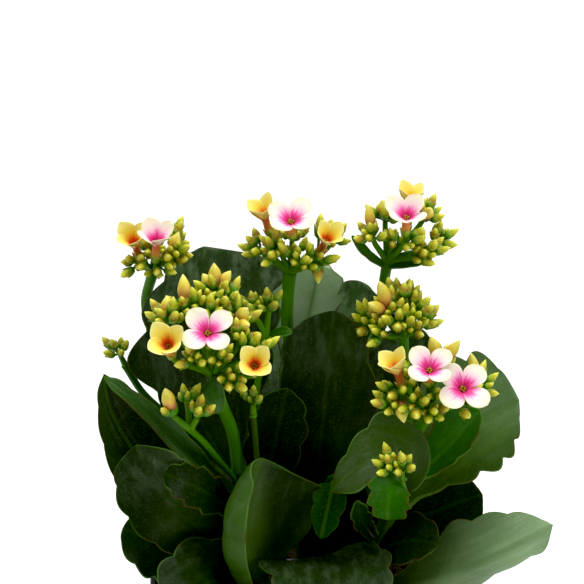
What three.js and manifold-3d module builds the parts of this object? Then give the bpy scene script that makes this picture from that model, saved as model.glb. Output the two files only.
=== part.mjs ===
// A kalanchoe in a 12 cm plastic nursery pot: three rooted stems with fleshy scalloped leaves,
// twelve heads of pointed buds and thirteen four-petalled flowers just opening.
//
// Millimetres, +Z up. The origin is the middle of the pot's foot, and -Y is the front.
import * as THREE from 'three';
import { mergeVertices } from 'three/addons/utils/BufferGeometryUtils.js';
import Module from 'manifold-3d';

const wasm = await Module();
wasm.setup();

// ---------------------------------------------------------------- driving dimensions
const gap = 0.3; // air between pieces that touch or grow out of each other

const pot = {
  height: 105, rimRadius: 60, footRadius: 43, wall: 1.2, lipHeight: 9, lipReach: 2.2,
  floor: 2, grooveInner: 24, grooveOuter: 35, grooveDepth: 4, drainHoles: 8, drainRadius: 3, sides: 28,
};
const soil = { top: 96, crown: 2.5, shoulder: 44 };
const stemRadius = 3.5;
const stalkSize = { width: 1.7, thick: 2.6 }; // a leaf's own stalk: half width and thickness
const blade = { middle: 1.8, margin: 0.9, tip: 0.8, fleshyShare: 0.25, lobeShape: 0.95, bulge: 1.5 };
const bud = {
  length: 11.5, radius: 2.1, widest: 0.62, sides: 3, perSpray: 6, spread: 85, // spread in degrees
  smallest: 0.72, variety: 0.4, clear: 4, // clear: least room between two buds' middles
};
const branch = { radius: 1.3, neckRadius: 0.9, taper: 1.15, sides: 3 };
const flower = {
  petal: 11, petalWidth: 9.2, throat: 1.8, tubeLength: 9, tubeRadius: 1.9, sheet: 0.7, petals: 4, cup: 0.6,
};
const free = { petals: 2.6, rim: 1.5, tube: 2.2 }; // room without buds round an open flower's parts
const petalRows = [[0.1, 0.18], [0.68, 0.5], [1, 0.16]]; // shares of the petal's length and of its width

// ---------------------------------------------------------------- finishes
const finish = (color, roughness) => new THREE.MeshStandardMaterial({ color, roughness, metalness: 0 });
const finishes = {
  pot: finish('#262626', 0.45),
  soil: finish('#2b1f17', 0.95),
  stem: finish('#5f7d2c', 0.5),
  dark: finish('#24461f', 0.35),
  grey: finish('#4d7343', 0.4),
  young: finish('#4f8a22', 0.4),
  head: finish('#aeb04a', 0.5),
  white: finish('#f6dfe2', 0.5),
  yellow: finish('#f3c45c', 0.5),
};

// ---------------------------------------------------------------- solids
function toSolid(geometry) {
  const bare = new THREE.BufferGeometry();
  bare.setAttribute('position', geometry.getAttribute('position').clone());
  if (geometry.index) {
    bare.setIndex(geometry.index.clone());
  }
  const merged = mergeVertices(bare, 1e-4);
  return new wasm.Manifold(new wasm.Mesh({
    numProp: 3,
    vertProperties: merged.getAttribute('position').array,
    triVerts: new Uint32Array(merged.index.array),
  }));
}

function toGeometry(solid) {
  const mesh = solid.getMesh();
  const geometry = new THREE.BufferGeometry();
  geometry.setAttribute('position', new THREE.BufferAttribute(new Float32Array(mesh.vertProperties), 3));
  geometry.setIndex(new THREE.BufferAttribute(new Uint32Array(mesh.triVerts), 1));
  return geometry;
}

const fuse = (solids) => solids.reduce((whole, piece) => whole.add(piece));

const vector = (point) => new THREE.Vector3(...point);

const degrees = THREE.MathUtils.degToRad;

// A number from 0 to 1 that is the same every time for the same two counters.
function scatter(counter, seed) {
  const value = Math.sin(12.9898 * counter + 78.233 * seed) * 43758.5453;
  return value - Math.floor(value);
}

// A round tube of one radius along a smooth curve through the points.
function tube(points, radius, sides, steps) {
  const section = new THREE.Shape();
  section.absarc(0, 0, radius, 0, 2 * Math.PI);
  const ring = new THREE.Shape(section.getSpacedPoints(sides).slice(0, sides));
  const path = new THREE.CatmullRomCurve3(points.map(vector));
  return new THREE.ExtrudeGeometry(ring, { steps, extrudePath: path, bevelEnabled: false });
}

// A turned form whose profile, pairs of radius and height, is laid from a point along a direction.
function turned(profile, sides, from, along, spin = 0) {
  const geometry = new THREE.LatheGeometry(profile.map(([r, h]) => new THREE.Vector2(r, h)), sides);
  geometry.rotateY(spin);
  geometry.applyQuaternion(new THREE.Quaternion().setFromUnitVectors(new THREE.Vector3(0, 1, 0), along));
  return geometry.translate(from.x, from.y, from.z);
}

// A closed sheet over a grid of points: each cell of the upper and of the lower face is cut
// along the same diagonal, and strips close the rim between them.
function sheet(upper, lower) {
  const rows = upper.length;
  const columns = upper[0].length;
  const half = rows * columns;
  const positions = [...upper.flat(), ...lower.flat()].flatMap((p) => [p.x, p.y, p.z]);
  const at = (i, j) => i * columns + j;
  const index = [];
  const quad = (a, b, c, d) => index.push(a, b, c, a, c, d);
  for (let i = 0; i < rows - 1; i += 1) {
    for (let j = 0; j < columns - 1; j += 1) {
      index.push(at(i, j), at(i, j + 1), at(i + 1, j + 1), at(i, j), at(i + 1, j + 1), at(i + 1, j));
      index.push(half + at(i, j), half + at(i + 1, j + 1), half + at(i, j + 1));
      index.push(half + at(i, j), half + at(i + 1, j), half + at(i + 1, j + 1));
    }
    quad(at(i, 0), at(i + 1, 0), half + at(i + 1, 0), half + at(i, 0));
    const edge = columns - 1;
    quad(at(i + 1, edge), at(i, edge), half + at(i, edge), half + at(i + 1, edge));
  }
  for (let j = 0; j < columns - 1; j += 1) {
    quad(at(0, j + 1), at(0, j), half + at(0, j), half + at(0, j + 1));
    quad(at(rows - 1, j), at(rows - 1, j + 1), half + at(rows - 1, j + 1), half + at(rows - 1, j));
  }
  const geometry = new THREE.BufferGeometry();
  geometry.setAttribute('position', new THREE.Float32BufferAttribute(positions, 3));
  geometry.setIndex(index);
  return geometry;
}

// ---------------------------------------------------------------- leaves
// Half width along the blade, 0 at its base to 1 at its tip: a quarter sine wave up to the widest
// place, then an elliptical round end.
function outline(q, widest, round) {
  if (q < widest) {
    return Math.sin((Math.PI / 2) * (q / widest)) ** 1.2;
  }
  return Math.sqrt(Math.max(0, 1 - ((q - widest) / (1 - widest)) ** round));
}

// A smooth curve (Catmull-Rom) through values that stand at equal steps from 0 to 1.
function between(values, e) {
  const last = values.length - 1;
  const k = Math.min(Math.floor(e * last), last - 1);
  const f = e * last - k;
  const [a, b, c, d] = [k - 1, k, k + 1, k + 2].map((n) => values[Math.min(Math.max(n, 0), last)]);
  return Math.max(0, b + 0.5 * f * (c - a + f * (2 * a - 5 * b + 4 * c - d + f * (3 * (b - c) + d - a))));
}

// One side of the cross-section: a line whose slope starts at the fold angle and turns further by
// the curl angle towards the margin. Gives how far across and how high the point u is.
function section(u, fold, curl) {
  const steps = 8;
  let across = 0;
  let high = 0;
  for (let k = 0; k < steps; k += 1) {
    const slope = fold + curl * ((u * (k + 0.5)) / steps) ** 1.5;
    across += (Math.cos(slope) * u) / steps;
    high += (Math.sin(slope) * u) / steps;
  }
  return { across, high, slope: fold + curl * u ** 1.5 };
}

// A leaf on a midrib that is a cubic Bezier curve from its root to its tip. face is the way its
// upper side looks. The margin has round lobes, moved on by shift. sides, where given, holds the left and
// the right half's widths as shares of half, at equal steps of e from the blade's base to its tip.
function leafGeometry(leaf) {
  const { half, stalk = 0.12, lobes = 4.5, notch = 1.5, fold = [5, 5], curl = [12, 12] } = leaf;
  const { sides, shift = [0, 0], strips = 2, widest = 0.56, round = 2.2 } = leaf;
  const rib = new THREE.CubicBezierCurve3(...leaf.path.map(vector));
  const stations = [{ t: 0, q: 0, e: 0 }, { t: stalk * 0.6, q: 0, e: 0 }];
  for (let lobe = 0; lobe < lobes; lobe += 1) {
    for (const part of [0, 0.5]) {
      const e = (lobe + part) / lobes;
      if (e < 0.99) {
        const q = 1 - (1 - e) ** 1.5;
        stations.push({ t: stalk + (1 - stalk) * q, q, e });
      }
    }
  }
  stations.push({ t: 1, q: 1, e: 1 });
  const upper = [];
  const lower = [];
  for (const { t, q, e } of stations) {
    const middle = rib.getPoint(t);
    const along = rib.getTangent(t).normalize();
    const side = new THREE.Vector3().crossVectors(along, vector(leaf.face)).normalize();
    const normal = new THREE.Vector3().crossVectors(side, along);
    const base = stalkSize.width * (1 - q);
    const fleshy = Math.max(0, 1 - q / blade.fleshyShare);
    const rows = [[], []];
    for (let j = 0; j <= strips; j += 1) {
      const u = (2 * j) / strips - 1;
      const size = Math.abs(u);
      const right = u > 0 ? 1 : 0;
      const shape = sides ? between(sides[right], e) : outline(q, widest, round);
      const lobe = Math.abs(Math.sin(Math.PI * (lobes * e + shift[right]))) ** blade.lobeShape;
      const width = Math.max(blade.tip, base + (half - base) * shape - notch * shape * (1 - lobe));
      const bend = section(size, degrees(fold[right]) * Math.min(1, shape * 2),
        degrees(curl[right]) * Math.min(1, shape * 2));
      const flesh = blade.middle + (blade.margin - blade.middle) * size ** blade.bulge;
      const thick = flesh + (stalkSize.thick - flesh) * fleshy;
      const point = middle.clone()
        .addScaledVector(side, Math.sign(u) * bend.across * width)
        .addScaledVector(normal, bend.high * width);
      const out = normal.clone().multiplyScalar(Math.cos(bend.slope))
        .addScaledVector(side, -Math.sign(u) * Math.sin(bend.slope));
      rows[0].push(point.clone().addScaledVector(out, thick / 2));
      rows[1].push(point.clone().addScaledVector(out, -thick / 2));
    }
    upper.push(rows[0]);
    lower.push(rows[1]);
  }
  return sheet(upper, lower);
}

// ---------------------------------------------------------------- stems
const stems = {
  left: [[-12, -4, 64], [-14, -6, 96], [-20, -13, 130], [-24, -19, 160]],
  centre: [[4, 12, 64], [3, 12, 96], [0, 12, 130], [-3, 12, 168]],
  right: [[20, 4, 64], [24, 2, 96], [34, -6, 130], [41, -14, 158]],
};
const stemTube = (name, extra) => tube(stems[name], stemRadius + extra, 8, 6);
const stemRoom = Object.fromEntries(Object.keys(stems).map((name) => [name, toSolid(stemTube(name, gap))]));

// Each leaf: the stem it grows from, its midrib's four points, its half width and its bends.
const leaves = [
  { name: 'leaf_back_left', stem: 'left', finish: 'dark', half: 29, face: [0.1, -1, 0.3],
    path: [[-23, -16.4, 149], [-31, 8, 176], [-39, 18, 210], [-38, 28, 235]], lobes: 4.5,
    shift: [-0.1, 0.4], notch: 2.2,
    sides: [[0.05, 0.8, 1.2, 1, 0.72, 0.3, 0], [0.05, 0.55, 0.9, 1, 1, 0.6, 0.05]], strips: 4,
    curl: [15, 20] },
  { name: 'leaf_back_keeled', stem: 'centre', finish: 'grey', half: 15, face: [0, -1, 0.3],
    path: [[-2, 12, 155], [-2, 26, 184], [5, 28, 210], [8, 28, 229]], notch: 1.2,
    sides: [[0.05, 0.5, 0.8, 0.95, 1, 0.8, 0.1], [0.05, 0.4, 0.6, 0.8, 0.95, 0.8, 0.1]], fold: [30, 30] },
  { name: 'leaf_back_centre', stem: 'centre', finish: 'dark', half: 17, face: [0.1, -1, 0.3],
    path: [[0, 12, 140], [9, 26, 165], [18, 36, 195], [23.5, 38, 217]] },
  { name: 'leaf_middle', stem: 'centre', finish: 'dark', half: 22, face: [-0.05, -1, 0.3],
    path: [[1, 12, 124], [7, -14, 146], [10, -8, 182], [13, 6, 216]], lobes: 4.5, shift: [0.2, 0],
    notch: 1.8,
    sides: [[0.05, 0.5, 0.75, 0.86, 0.92, 0.68, 0.05], [0.05, 0.55, 0.92, 1.02, 0.8, 0.56, 0.1]],
    strips: 4, fold: [12, 8], curl: [10, 14] },
  { name: 'leaf_middle_right', stem: 'right', finish: 'grey', half: 13, face: [-0.4, -0.7, 0.6],
    path: [[38.5, -12.5, 150], [42, -30, 169], [33, -37, 182], [12, -36, 157.5]], notch: 1.6,
    sides: [[0.1, 0.4, 0.6, 0.85, 0.8, 0.5, 0], [0.1, 1.4, 1.5, 1, 0.66, 0.35, 0]] },
  { name: 'leaf_right', stem: 'right', finish: 'grey', half: 23, face: [-0.1, -1, 0.45],
    path: [[37, -9, 142], [53, -8, 156], [66, -3, 175], [86, 0, 181]], lobes: 5.5, shift: [0.3, 0.2],
    notch: 2.4, sides: [[0.1, 0.5, 1, 1.25, 1.2, 0.85, 0], [0.2, 0.55, 0.8, 0.9, 0.75, 0.45, 0]],
    strips: 4 },
  { name: 'leaf_rim_right', stem: 'right', finish: 'grey', half: 22, face: [-0.4, -0.6, 0.75],
    path: [[25, 1, 101], [40, -34, 112], [68, -48, 130], [96, -50, 150]], notch: 2,
    sides: [[0.1, 0.62, 0.97, 0.88, 0.7, 0.36, 0], [0.1, 0.7, 0.6, 0.5, 0.48, 0.25, 0]], strips: 4,
    fold: [0, -80], curl: [12, -15], stalk: 0.2 },
  { name: 'leaf_low_right', stem: 'right', finish: 'dark', half: 14, face: [0, -0.9, 0.5],
    path: [[32.7, -4.2, 126], [46, -10, 134], [60, -12, 142], [72, -8, 144]],
    sides: [[0.1, 0.7, 0.8, 0.75, 0.7, 0.45, 0], [0.1, 0.6, 0.95, 0.95, 0.9, 0.5, 0]] },
  { name: 'leaf_flower_right', stem: 'right', finish: 'young', half: 11, face: [0, -0.9, 0.4],
    path: [[41, -13, 152], [52, -13, 158], [61, -15, 170], [69.5, -17, 184]], lobes: 5.5, notch: 1,
    sides: [[0.1, 0.6, 0.9, 1.05, 1.1, 0.7, 0], [0.1, 0.4, 0.55, 0.62, 0.5, 0.3, 0]] },
  { name: 'leaf_low_middle', stem: 'centre', finish: 'dark', half: 22, face: [0, -0.45, 0.9],
    path: [[3, 12, 100], [10, -12, 122], [15, -38, 138], [15, -68, 112]], lobes: 5.5, notch: 1.8,
    sides: [[0.1, 0.6, 0.95, 1.05, 0.95, 0.65, 0], [0.1, 0.7, 1.15, 1.2, 1.1, 0.8, 0]], strips: 4 },
  { name: 'leaf_front_boat', stem: 'left', finish: 'grey', half: 28, face: [0.5, -0.85, 0.1],
    path: [[-15, -7, 106], [-14, -28, 108], [-30, -34, 141], [-14.5, -38, 172.5]], lobes: 5.5,
    sides: [[0.1, 0.5, 0.85, 1, 0.9, 0.5, 0], [0.1, 0.38, 0.8, 1, 1.05, 0.95, 0]], strips: 4,
    fold: [0, 5], curl: [155, 25] },
  { name: 'leaf_round_left', stem: 'left', finish: 'dark', half: 20, face: [-0.1, -0.9, 0.4],
    path: [[-19, -12, 120], [-31, -25, 130], [-52, -38, 147], [-62, -43, 180]], lobes: 5.5,
    sides: [[0.1, 0.5, 0.8, 0.88, 0.8, 0.55, 0], [0.1, 0.5, 0.8, 0.88, 0.82, 0.55, 0]], stalk: 0.2 },
  { name: 'leaf_far_left', stem: 'left', finish: 'grey', half: 18, face: [-0.2, -0.9, 0.4],
    path: [[-21.5, -14, 134.5], [-46, -6, 142], [-74, -9, 160], [-76, -9, 195.5]], lobes: 5.5,
    sides: [[0.1, 0.6, 0.8, 0.58, 0.34, 0.18, 0], [0.1, 0.7, 1.1, 1.1, 0.95, 0.5, 0]] },
  { name: 'leaf_under_left', stem: 'left', finish: 'dark', half: 17, face: [-0.1, -0.9, 0.5],
    path: [[-16.8, -10, 111], [-34, -17, 124], [-51, -25, 129], [-69, -27, 138]], lobes: 5.5, notch: 2 },
  { name: 'leaf_low_left', stem: 'left', finish: 'dark', half: 19, face: [-0.1, -0.9, 0.45],
    path: [[-14, -7, 100.5], [-31, -18, 107], [-33, -53, 140], [-48, -62, 113]], lobes: 5.5, notch: 2,
    sides: [[0.1, 0.6, 0.95, 1, 0.9, 0.6, 0], [0.1, 0.6, 0.95, 1, 0.9, 0.6, 0]] },
  { name: 'leaf_small_left', stem: 'left', finish: 'dark', half: 8, face: [0, -0.9, 0.5],
    path: [[-22, -16, 141], [-28, -36, 150], [-40, -45.5, 166], [-52, -45, 169]], notch: 1 },
  { name: 'leaf_strap_left', stem: 'left', finish: 'young', half: 6.5, face: [0.3, -0.8, 0.7],
    path: [[-22, -16.6, 147], [-32, -27, 151], [-51, -34, 185], [-75, -28, 202]], lobes: 5.5, notch: 0.7,
    sides: [[0.3, 0.7, 0.9, 0.65, 0.5, 0.4, 0], [0.3, 0.5, 0.9, 0.9, 0.6, 0.45, 0]], fold: [25, 25] },
  { name: 'leaf_behind_stalk', stem: 'left', finish: 'dark', half: 12, face: [0, -1, 0.3],
    path: [[-23, -18, 154], [-34, -12, 166], [-40, -10, 178], [-43, -10, 190]], lobes: 3.5 },
  { name: 'leaf_inner_left', stem: 'left', finish: 'dark', half: 12, face: [0, -1, 0.3],
    path: [[-20.5, -12.5, 132], [-12, -17, 154], [-9, -18, 174], [-5, -15, 192]],
    sides: [[0.1, 0.6, 1, 1.1, 0.9, 0.6, 0], [0.1, 0.6, 0.9, 1, 0.9, 0.6, 0]] },
  { name: 'leaf_back_right', stem: 'right', finish: 'dark', half: 16, face: [0, -1, 0.3],
    path: [[39, -12, 150], [32, 6, 166], [39, 11, 188], [46, 13, 207]] },
  { name: 'leaf_shoot_left', stem: 'centre', finish: 'young', half: 5.5, face: [-0.1, -1, 0.3],
    path: [[2, 12, 111], [15, -15, 160], [15, -36, 171], [8, -36, 138]], lobes: 3.5, notch: 1, stalk: 0.5 },
  { name: 'leaf_shoot_right', stem: 'right', finish: 'dark', half: 5, face: [0.2, -0.9, 0.4],
    path: [[31, -3, 121], [28, -14, 132], [22, -26, 140], [22, -32, 152]], lobes: 3.5, notch: 1 },
  { name: 'leaf_low_front_right', stem: 'right', finish: 'dark', half: 13, face: [-0.2, -0.6, 0.8],
    path: [[27, -1, 109], [31, -20, 126], [40, -32, 138], [53, -38, 136]] },
  { name: 'leaf_low_inner', stem: 'centre', finish: 'dark', half: 13, face: [0, -0.9, 0.5],
    path: [[3, 12, 104], [12, 17, 112], [21, 17, 124], [27, 15, 137]], lobes: 3.5 },
  { name: 'leaf_rear_left', stem: 'left', finish: 'dark', half: 20, face: [-0.3, 0.2, 1],
    path: [[-17, -9, 116], [-30, 16, 140], [-44, 34, 152], [-56, 46, 146]], lobes: 3.5 },
  { name: 'leaf_rear_middle', stem: 'centre', finish: 'dark', half: 22, face: [0, 0.3, 1],
    path: [[2, 12, 117], [2, 34, 146], [0, 56, 156], [-4, 72, 146]], lobes: 3.5 },
  { name: 'leaf_rear_high', stem: 'centre', finish: 'dark', half: 16, face: [-0.1, 0.4, 1],
    path: [[0, 12, 129], [-6, 34, 150], [-14, 56, 178], [-20, 68, 184]], lobes: 3.5 },
  { name: 'leaf_rear_right', stem: 'right', finish: 'dark', half: 20, face: [0.3, 0.2, 1],
    path: [[29, -2, 115], [44, 20, 140], [56, 36, 150], [64, 48, 142]], lobes: 3.5 },
];

function leafPart(leaf) {
  return toSolid(leafGeometry(leaf)).subtract(stemRoom[leaf.stem]);
}

// ---------------------------------------------------------------- flower heads
// Each head: its stalk's foot, bend and fork, the points where its branches burst into buds, and
// its open flowers (middle of the petals, the way they look, how far they stand up, colour).
const heads = [
  { name: 'head_back_left', stem: 'left', thick: 1.7,
    stalk: [[-22, -16, 145], [-42, 30, 176], [-61, 34, 205], [-58, 25, 226]],
    sprays: [[-63, 12, 234], [-57, 18, 236], [-51, 12, 236], [-55, 7, 234], [-50, 18, 239]],
    flowers: [[-64, 11, 241, -0.2, -0.5, 0.85, 50, 'yellow'],
      [-55.5, 3, 245.5, 0.05, -0.4, 0.9, 36, 'white']] },
  { name: 'head_back_middle', stem: 'centre', thick: 2,
    stalk: [[-3, 12, 166], [-4, 11, 190], [-5, 10, 212], [-4, 10, 231]],
    sprays: [[-15, 6, 240], [-10, 0, 240], [-1, 0, 238], [7, 4, 240], [-3, 14, 243], [12, 8, 242]],
    flowers: [[-13.5, 7, 254.5, -0.2, -0.2, 0.95, 52, 'yellow'],
      [-3.5, -4, 255.5, -0.05, -0.5, 0.85, 24, 'white'],
      [10.5, 0.5, 247, 0.3, -0.5, 0.8, 48, 'yellow']] },
  { name: 'head_back_right', stem: 'right', thick: 1.6,
    stalk: [[34, -7, 130], [25, 10, 152], [30, 20, 200], [34, 10, 235]],
    sprays: [[28, 4, 247], [33, 10, 252], [40, 0, 246], [48, 2, 241], [53, 10, 243], [48, 12, 252]],
    flowers: [[43, 7, 260, 0.1, -0.15, 1, 55, 'yellow'],
      [40.5, -5, 257.5, 0, -0.5, 0.87, 28, 'white']],
    bracts: [
      { path: [[34, 10, 233], [28, 6, 235], [24, 4, 240], [20, 3, 248]], half: 3, face: [0.3, -0.9, 0.4] },
      { path: [[34, 10, 232], [40, 6, 233], [46, 4, 234], [51, 3, 237]], half: 3, face: [0, -0.7, 0.7] },
    ] },
  { name: 'head_front_left', stem: 'left', thick: 2.4,
    stalk: [[-24, -19, 158], [-26, -22, 176], [-30, -27, 190], [-33, -30, 203]],
    sprays: [[-43, -30, 229], [-32, -22, 234], [-25, -26, 223], [-50, -36, 227], [-39, -42, 215],
      [-26, -40, 205], [-20, -34, 214]],
    flowers: [[-34.5, -46, 226, 0, -0.6, 0.8, 22, 'white'],
      [-50, -48.6, 221, -0.1, -0.7, 0.7, 42, 'yellow'],
      [-18, -46, 213, 0.05, -0.75, 0.65, 40, 'yellow']],
    bracts: [
      { path: [[-33, -30, 202], [-36, -34, 206], [-38, -36, 203], [-38, -36, 195]], half: 2.5,
        face: [-0.4, -0.9, 0.2] },
    ] },
  { name: 'head_front_right', stem: 'right', thick: 2.1,
    stalk: [[41, -14, 156], [42, -16, 166], [45, -21, 176], [49, -26, 186]],
    sprays: [[37, -36, 199], [44, -30, 200], [51, -38, 198], [60, -36, 194], [53, -28, 206], [68, -30, 198]],
    flowers: [[36.3, -37, 208, -0.3, -0.25, 0.9, 50, 'yellow'],
      [48.5, -42, 209.5, 0, -0.5, 0.87, 25, 'white'],
      [61, -44, 203, 0.1, -0.65, 0.75, 20, 'white']] },
  { name: 'head_middle_right', stem: 'right', thick: 1.4,
    stalk: [[41, -13, 153], [43, -6, 166], [42, -5, 190], [40, -4, 210]],
    sprays: [[32, -6, 221], [39, 0, 224], [46, -2, 220], [50, 0, 213], [38, -12, 218], [43, -10, 214]],
    flowers: [] },
  { name: 'head_far_left', stem: 'left', thick: 1.2,
    stalk: [[-22, -15, 142], [-44, 10, 162], [-62, 14, 178], [-69, 12, 191]],
    sprays: [[-71, 9, 197]], flowers: [] },
  { name: 'head_low_left', stem: 'left', thick: 1.5,
    stalk: [[-23.5, -18, 153], [-30, -27, 165], [-36, -35, 177], [-42, -41, 186]],
    sprays: [[-48, -43, 192], [-39, -42, 191], [-43, -36, 194]], flowers: [] },
  { name: 'head_small_left', stem: 'left', thick: 1.1,
    stalk: [[-22, -16, 143], [-17, -9, 158], [-17, -8, 186], [-13, -6, 211]],
    sprays: [[-17, -6, 217], [-10, -6, 217]], flowers: [],
    bracts: [
      { path: [[-14, -6, 206], [-10, -8, 212], [-7, -10, 214], [-3, -10, 213]], half: 2.6,
        face: [0, -0.6, 0.8] },
    ] },
  { name: 'head_small_middle', stem: 'left', thick: 1.5,
    stalk: [[-23, -17, 151], [-17, -24, 160], [-17, -25, 172], [-18, -26, 186]],
    sprays: [[-18, -26, 190]], flowers: [] },
  { name: 'head_small_back', stem: 'centre', thick: 1.1,
    stalk: [[-2, 12, 158], [14, 18, 180], [24, 15, 196], [27, 8, 207]],
    sprays: [[27, 6, 212]], flowers: [] },
  { name: 'head_small_right', stem: 'right', thick: 1.2,
    stalk: [[38, -11, 145], [41, -28, 150], [40, -38, 159], [38, -44, 168]],
    sprays: [[38, -46, 172]], flowers: [],
    bracts: [
      { path: [[39, -41, 164], [35, -49, 172], [33, -54, 165], [33, -52, 153]], half: 9, face: [0, -1, 0.2],
        stalk: 0.12, lobes: 3.5, notch: 1, fold: [10, 10] },
    ] },
];

// A bud: from its root it swells to its widest place and runs on to a point.
function budPart(from, along, size) {
  const length = bud.length * size;
  const profile = [[0, 0], [bud.radius * Math.sqrt(size), bud.widest * length], [0, length]];
  return toSolid(turned(profile, bud.sides, from, along));
}

// The directions of a spray's buds: a sunflower spiral over a cap round the way the spray points.
function sprayDirections(axis, count, seed) {
  const turn = new THREE.Quaternion().setFromUnitVectors(new THREE.Vector3(0, 0, 1), axis);
  const directions = [];
  for (let k = 0; k < count; k += 1) {
    const lean = degrees(bud.spread) * Math.sqrt((k + 0.3) / count);
    const round = k * Math.PI * (3 - Math.sqrt(5)) + 2 * Math.PI * scatter(seed, 1);
    directions.push(new THREE.Vector3(Math.sin(lean) * Math.cos(round), Math.sin(lean) * Math.sin(round),
      Math.cos(lean)).applyQuaternion(turn));
  }
  return directions;
}

function readFlower([x, y, z, lookX, lookY, lookZ, rise, colour]) {
  const look = new THREE.Vector3(lookX, lookY, lookZ).normalize();
  return { centre: new THREE.Vector3(x, y, z), look, rise: degrees(rise), colour };
}

// The room that an open flower needs: its petals' cone and its tube, with buds kept out of both.
function inFlower(point, open) {
  const away = point.clone().sub(open.centre);
  const height = away.dot(open.look);
  const radius = away.addScaledVector(open.look, -height).length();
  const reach = flower.petal * Math.cos(open.rise);
  const petals = radius < reach + free.rim && Math.abs(height - radius * Math.tan(open.rise)) < free.petals;
  const cup = radius < reach && height > 0 && height < flower.petal;
  const neck = radius < flower.tubeRadius + free.tube && height <= 0 && height > -flower.tubeLength - 1;
  return petals || cup || neck;
}

function headPart(head, number) {
  const fork = vector(head.stalk[3]);
  const foot = vector(head.stalk[2]);
  const root = fork.clone().sub(fork.clone().sub(foot).normalize()); // 1 mm down inside the stalk
  const open = head.flowers.map(readFlower);
  const taken = [];
  const pieces = [toSolid(tube(head.stalk, head.thick, 5, 4))];
  const link = (from, to, radius) => {
    const along = to.clone().sub(from);
    const length = along.length() + 0.5;
    const profile = [[0, -1], [radius * branch.taper, -1], [radius, length], [0, length]];
    return toSolid(turned(profile, branch.sides, from, along.normalize()));
  };
  head.sprays.forEach((place, spray) => {
    const joint = vector(place);
    const reach = joint.clone().sub(fork).normalize();
    const axis = reach.clone().add(new THREE.Vector3(0, -0.15, 0.5)).normalize();
    pieces.push(link(root, joint, branch.radius));
    sprayDirections(axis, bud.perSpray, number * 10 + spray).forEach((along, k) => {
      const size = bud.smallest + bud.variety * scatter(k + 1, number * 10 + spray);
      const points = [0.45, 0.62, 0.8, 1].map((f) => joint.clone()
        .addScaledVector(along, f * size * bud.length));
      const clear = points.every((point) => !open.some((one) => inFlower(point, one))
        && !taken.some((other) => other.distanceTo(point) < bud.clear));
      if (clear) {
        taken.push(...points);
        pieces.push(budPart(joint, along, size));
      }
    });
  });
  for (const one of open) {
    const neck = one.centre.clone().addScaledVector(one.look, -flower.tubeLength - gap - 0.5);
    pieces.push(link(root, neck, branch.neckRadius));
  }
  for (const bract of head.bracts ?? []) {
    pieces.push(toSolid(leafGeometry({ lobes: 2.5, notch: 0.3, stalk: 0, ...bract })));
  }
  return fuse(pieces).subtract(stemRoom[head.stem]);
}

// ---------------------------------------------------------------- open flowers
// Four petals, each a cupped oval sheet that rises from the throat, on a tube that narrows forward.
// A petal's rows are given as shares of its length and width; side by side, petals just miss.
function flowerPart(open) {
  const { petal, petalWidth, throat, tubeLength, tubeRadius, sheet: thick, petals, cup } = flower;
  const pieces = [toSolid(turned([[0, -tubeLength], [tubeRadius, -0.7 * tubeLength], [throat, 1], [0, 1]],
    petals, open.centre, open.look))];
  const turn = new THREE.Quaternion().setFromUnitVectors(new THREE.Vector3(0, 0, 1), open.look);
  for (let number = 0; number < petals; number += 1) {
    const round = ((number + 0.5) * 2 * Math.PI) / petals;
    const out = new THREE.Vector3(Math.cos(round), Math.sin(round), 0);
    const across = new THREE.Vector3(Math.sin(round), -Math.cos(round), 0);
    const faces = [[], []];
    for (const [length, width] of petalRows) {
      const radius = petal * length * Math.cos(open.rise);
      const half = Math.min(width * petalWidth, 0.92 * radius);
      const rows = [[], []];
      for (const u of [-1, 0, 1]) {
        const lift = petal * length * Math.sin(open.rise) + cup * length * Math.abs(u);
        [0.5, -0.5].forEach((face, side) => {
          rows[side].push(out.clone().multiplyScalar(radius).addScaledVector(across, u * half)
            .add(new THREE.Vector3(0, 0, lift + face * thick)).applyQuaternion(turn).add(open.centre));
        });
      }
      faces[0].push(rows[0]);
      faces[1].push(rows[1]);
    }
    pieces.push(toSolid(sheet(...faces)));
  }
  return fuse(pieces);
}

// ---------------------------------------------------------------- pot and soil
// The pot's wall as one closed outline turned round the axis: foot, groove in the floor, outside,
// rolled lip, and back down the inside.
function potPart() {
  const { height, rimRadius, footRadius, wall, lipHeight, lipReach, floor, sides } = pot;
  const { grooveInner, grooveOuter, grooveDepth, drainHoles, drainRadius } = pot;
  const lipRadius = rimRadius - lipReach;
  const under = height - lipHeight;
  const profile = [[0, 0], [grooveInner, 0], [grooveInner + 1, grooveDepth], [grooveOuter - 1, grooveDepth],
    [grooveOuter, 0], [footRadius, 0], [footRadius + 1, 1], [lipRadius, under],
    [rimRadius - 0.4, under + 0.6], [rimRadius, height - 0.8], [rimRadius - 0.8, height],
    [rimRadius - lipReach, height],
    [lipRadius - wall, under - 1], [footRadius - 0.6, floor], [grooveOuter + 0.8, floor],
    [grooveOuter - 0.2, grooveDepth + floor], [grooveInner + 0.2, grooveDepth + floor],
    [grooveInner - 0.8, floor], [0, floor]];
  const points = profile.map(([r, h]) => new THREE.Vector2(r, h));
  let wallSolid = toSolid(new THREE.LatheGeometry(points, sides).rotateX(Math.PI / 2));
  for (let number = 0; number < drainHoles; number += 1) {
    const angle = (2 * Math.PI * number) / drainHoles;
    const middle = (grooveInner + grooveOuter) / 2;
    const hole = new THREE.CylinderGeometry(drainRadius, drainRadius, 4 * grooveDepth, 6)
      .rotateX(Math.PI / 2)
      .translate(middle * Math.cos(angle), middle * Math.sin(angle), grooveDepth);
    wallSolid = wallSolid.subtract(toSolid(hole));
  }
  return wallSolid;
}

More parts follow.
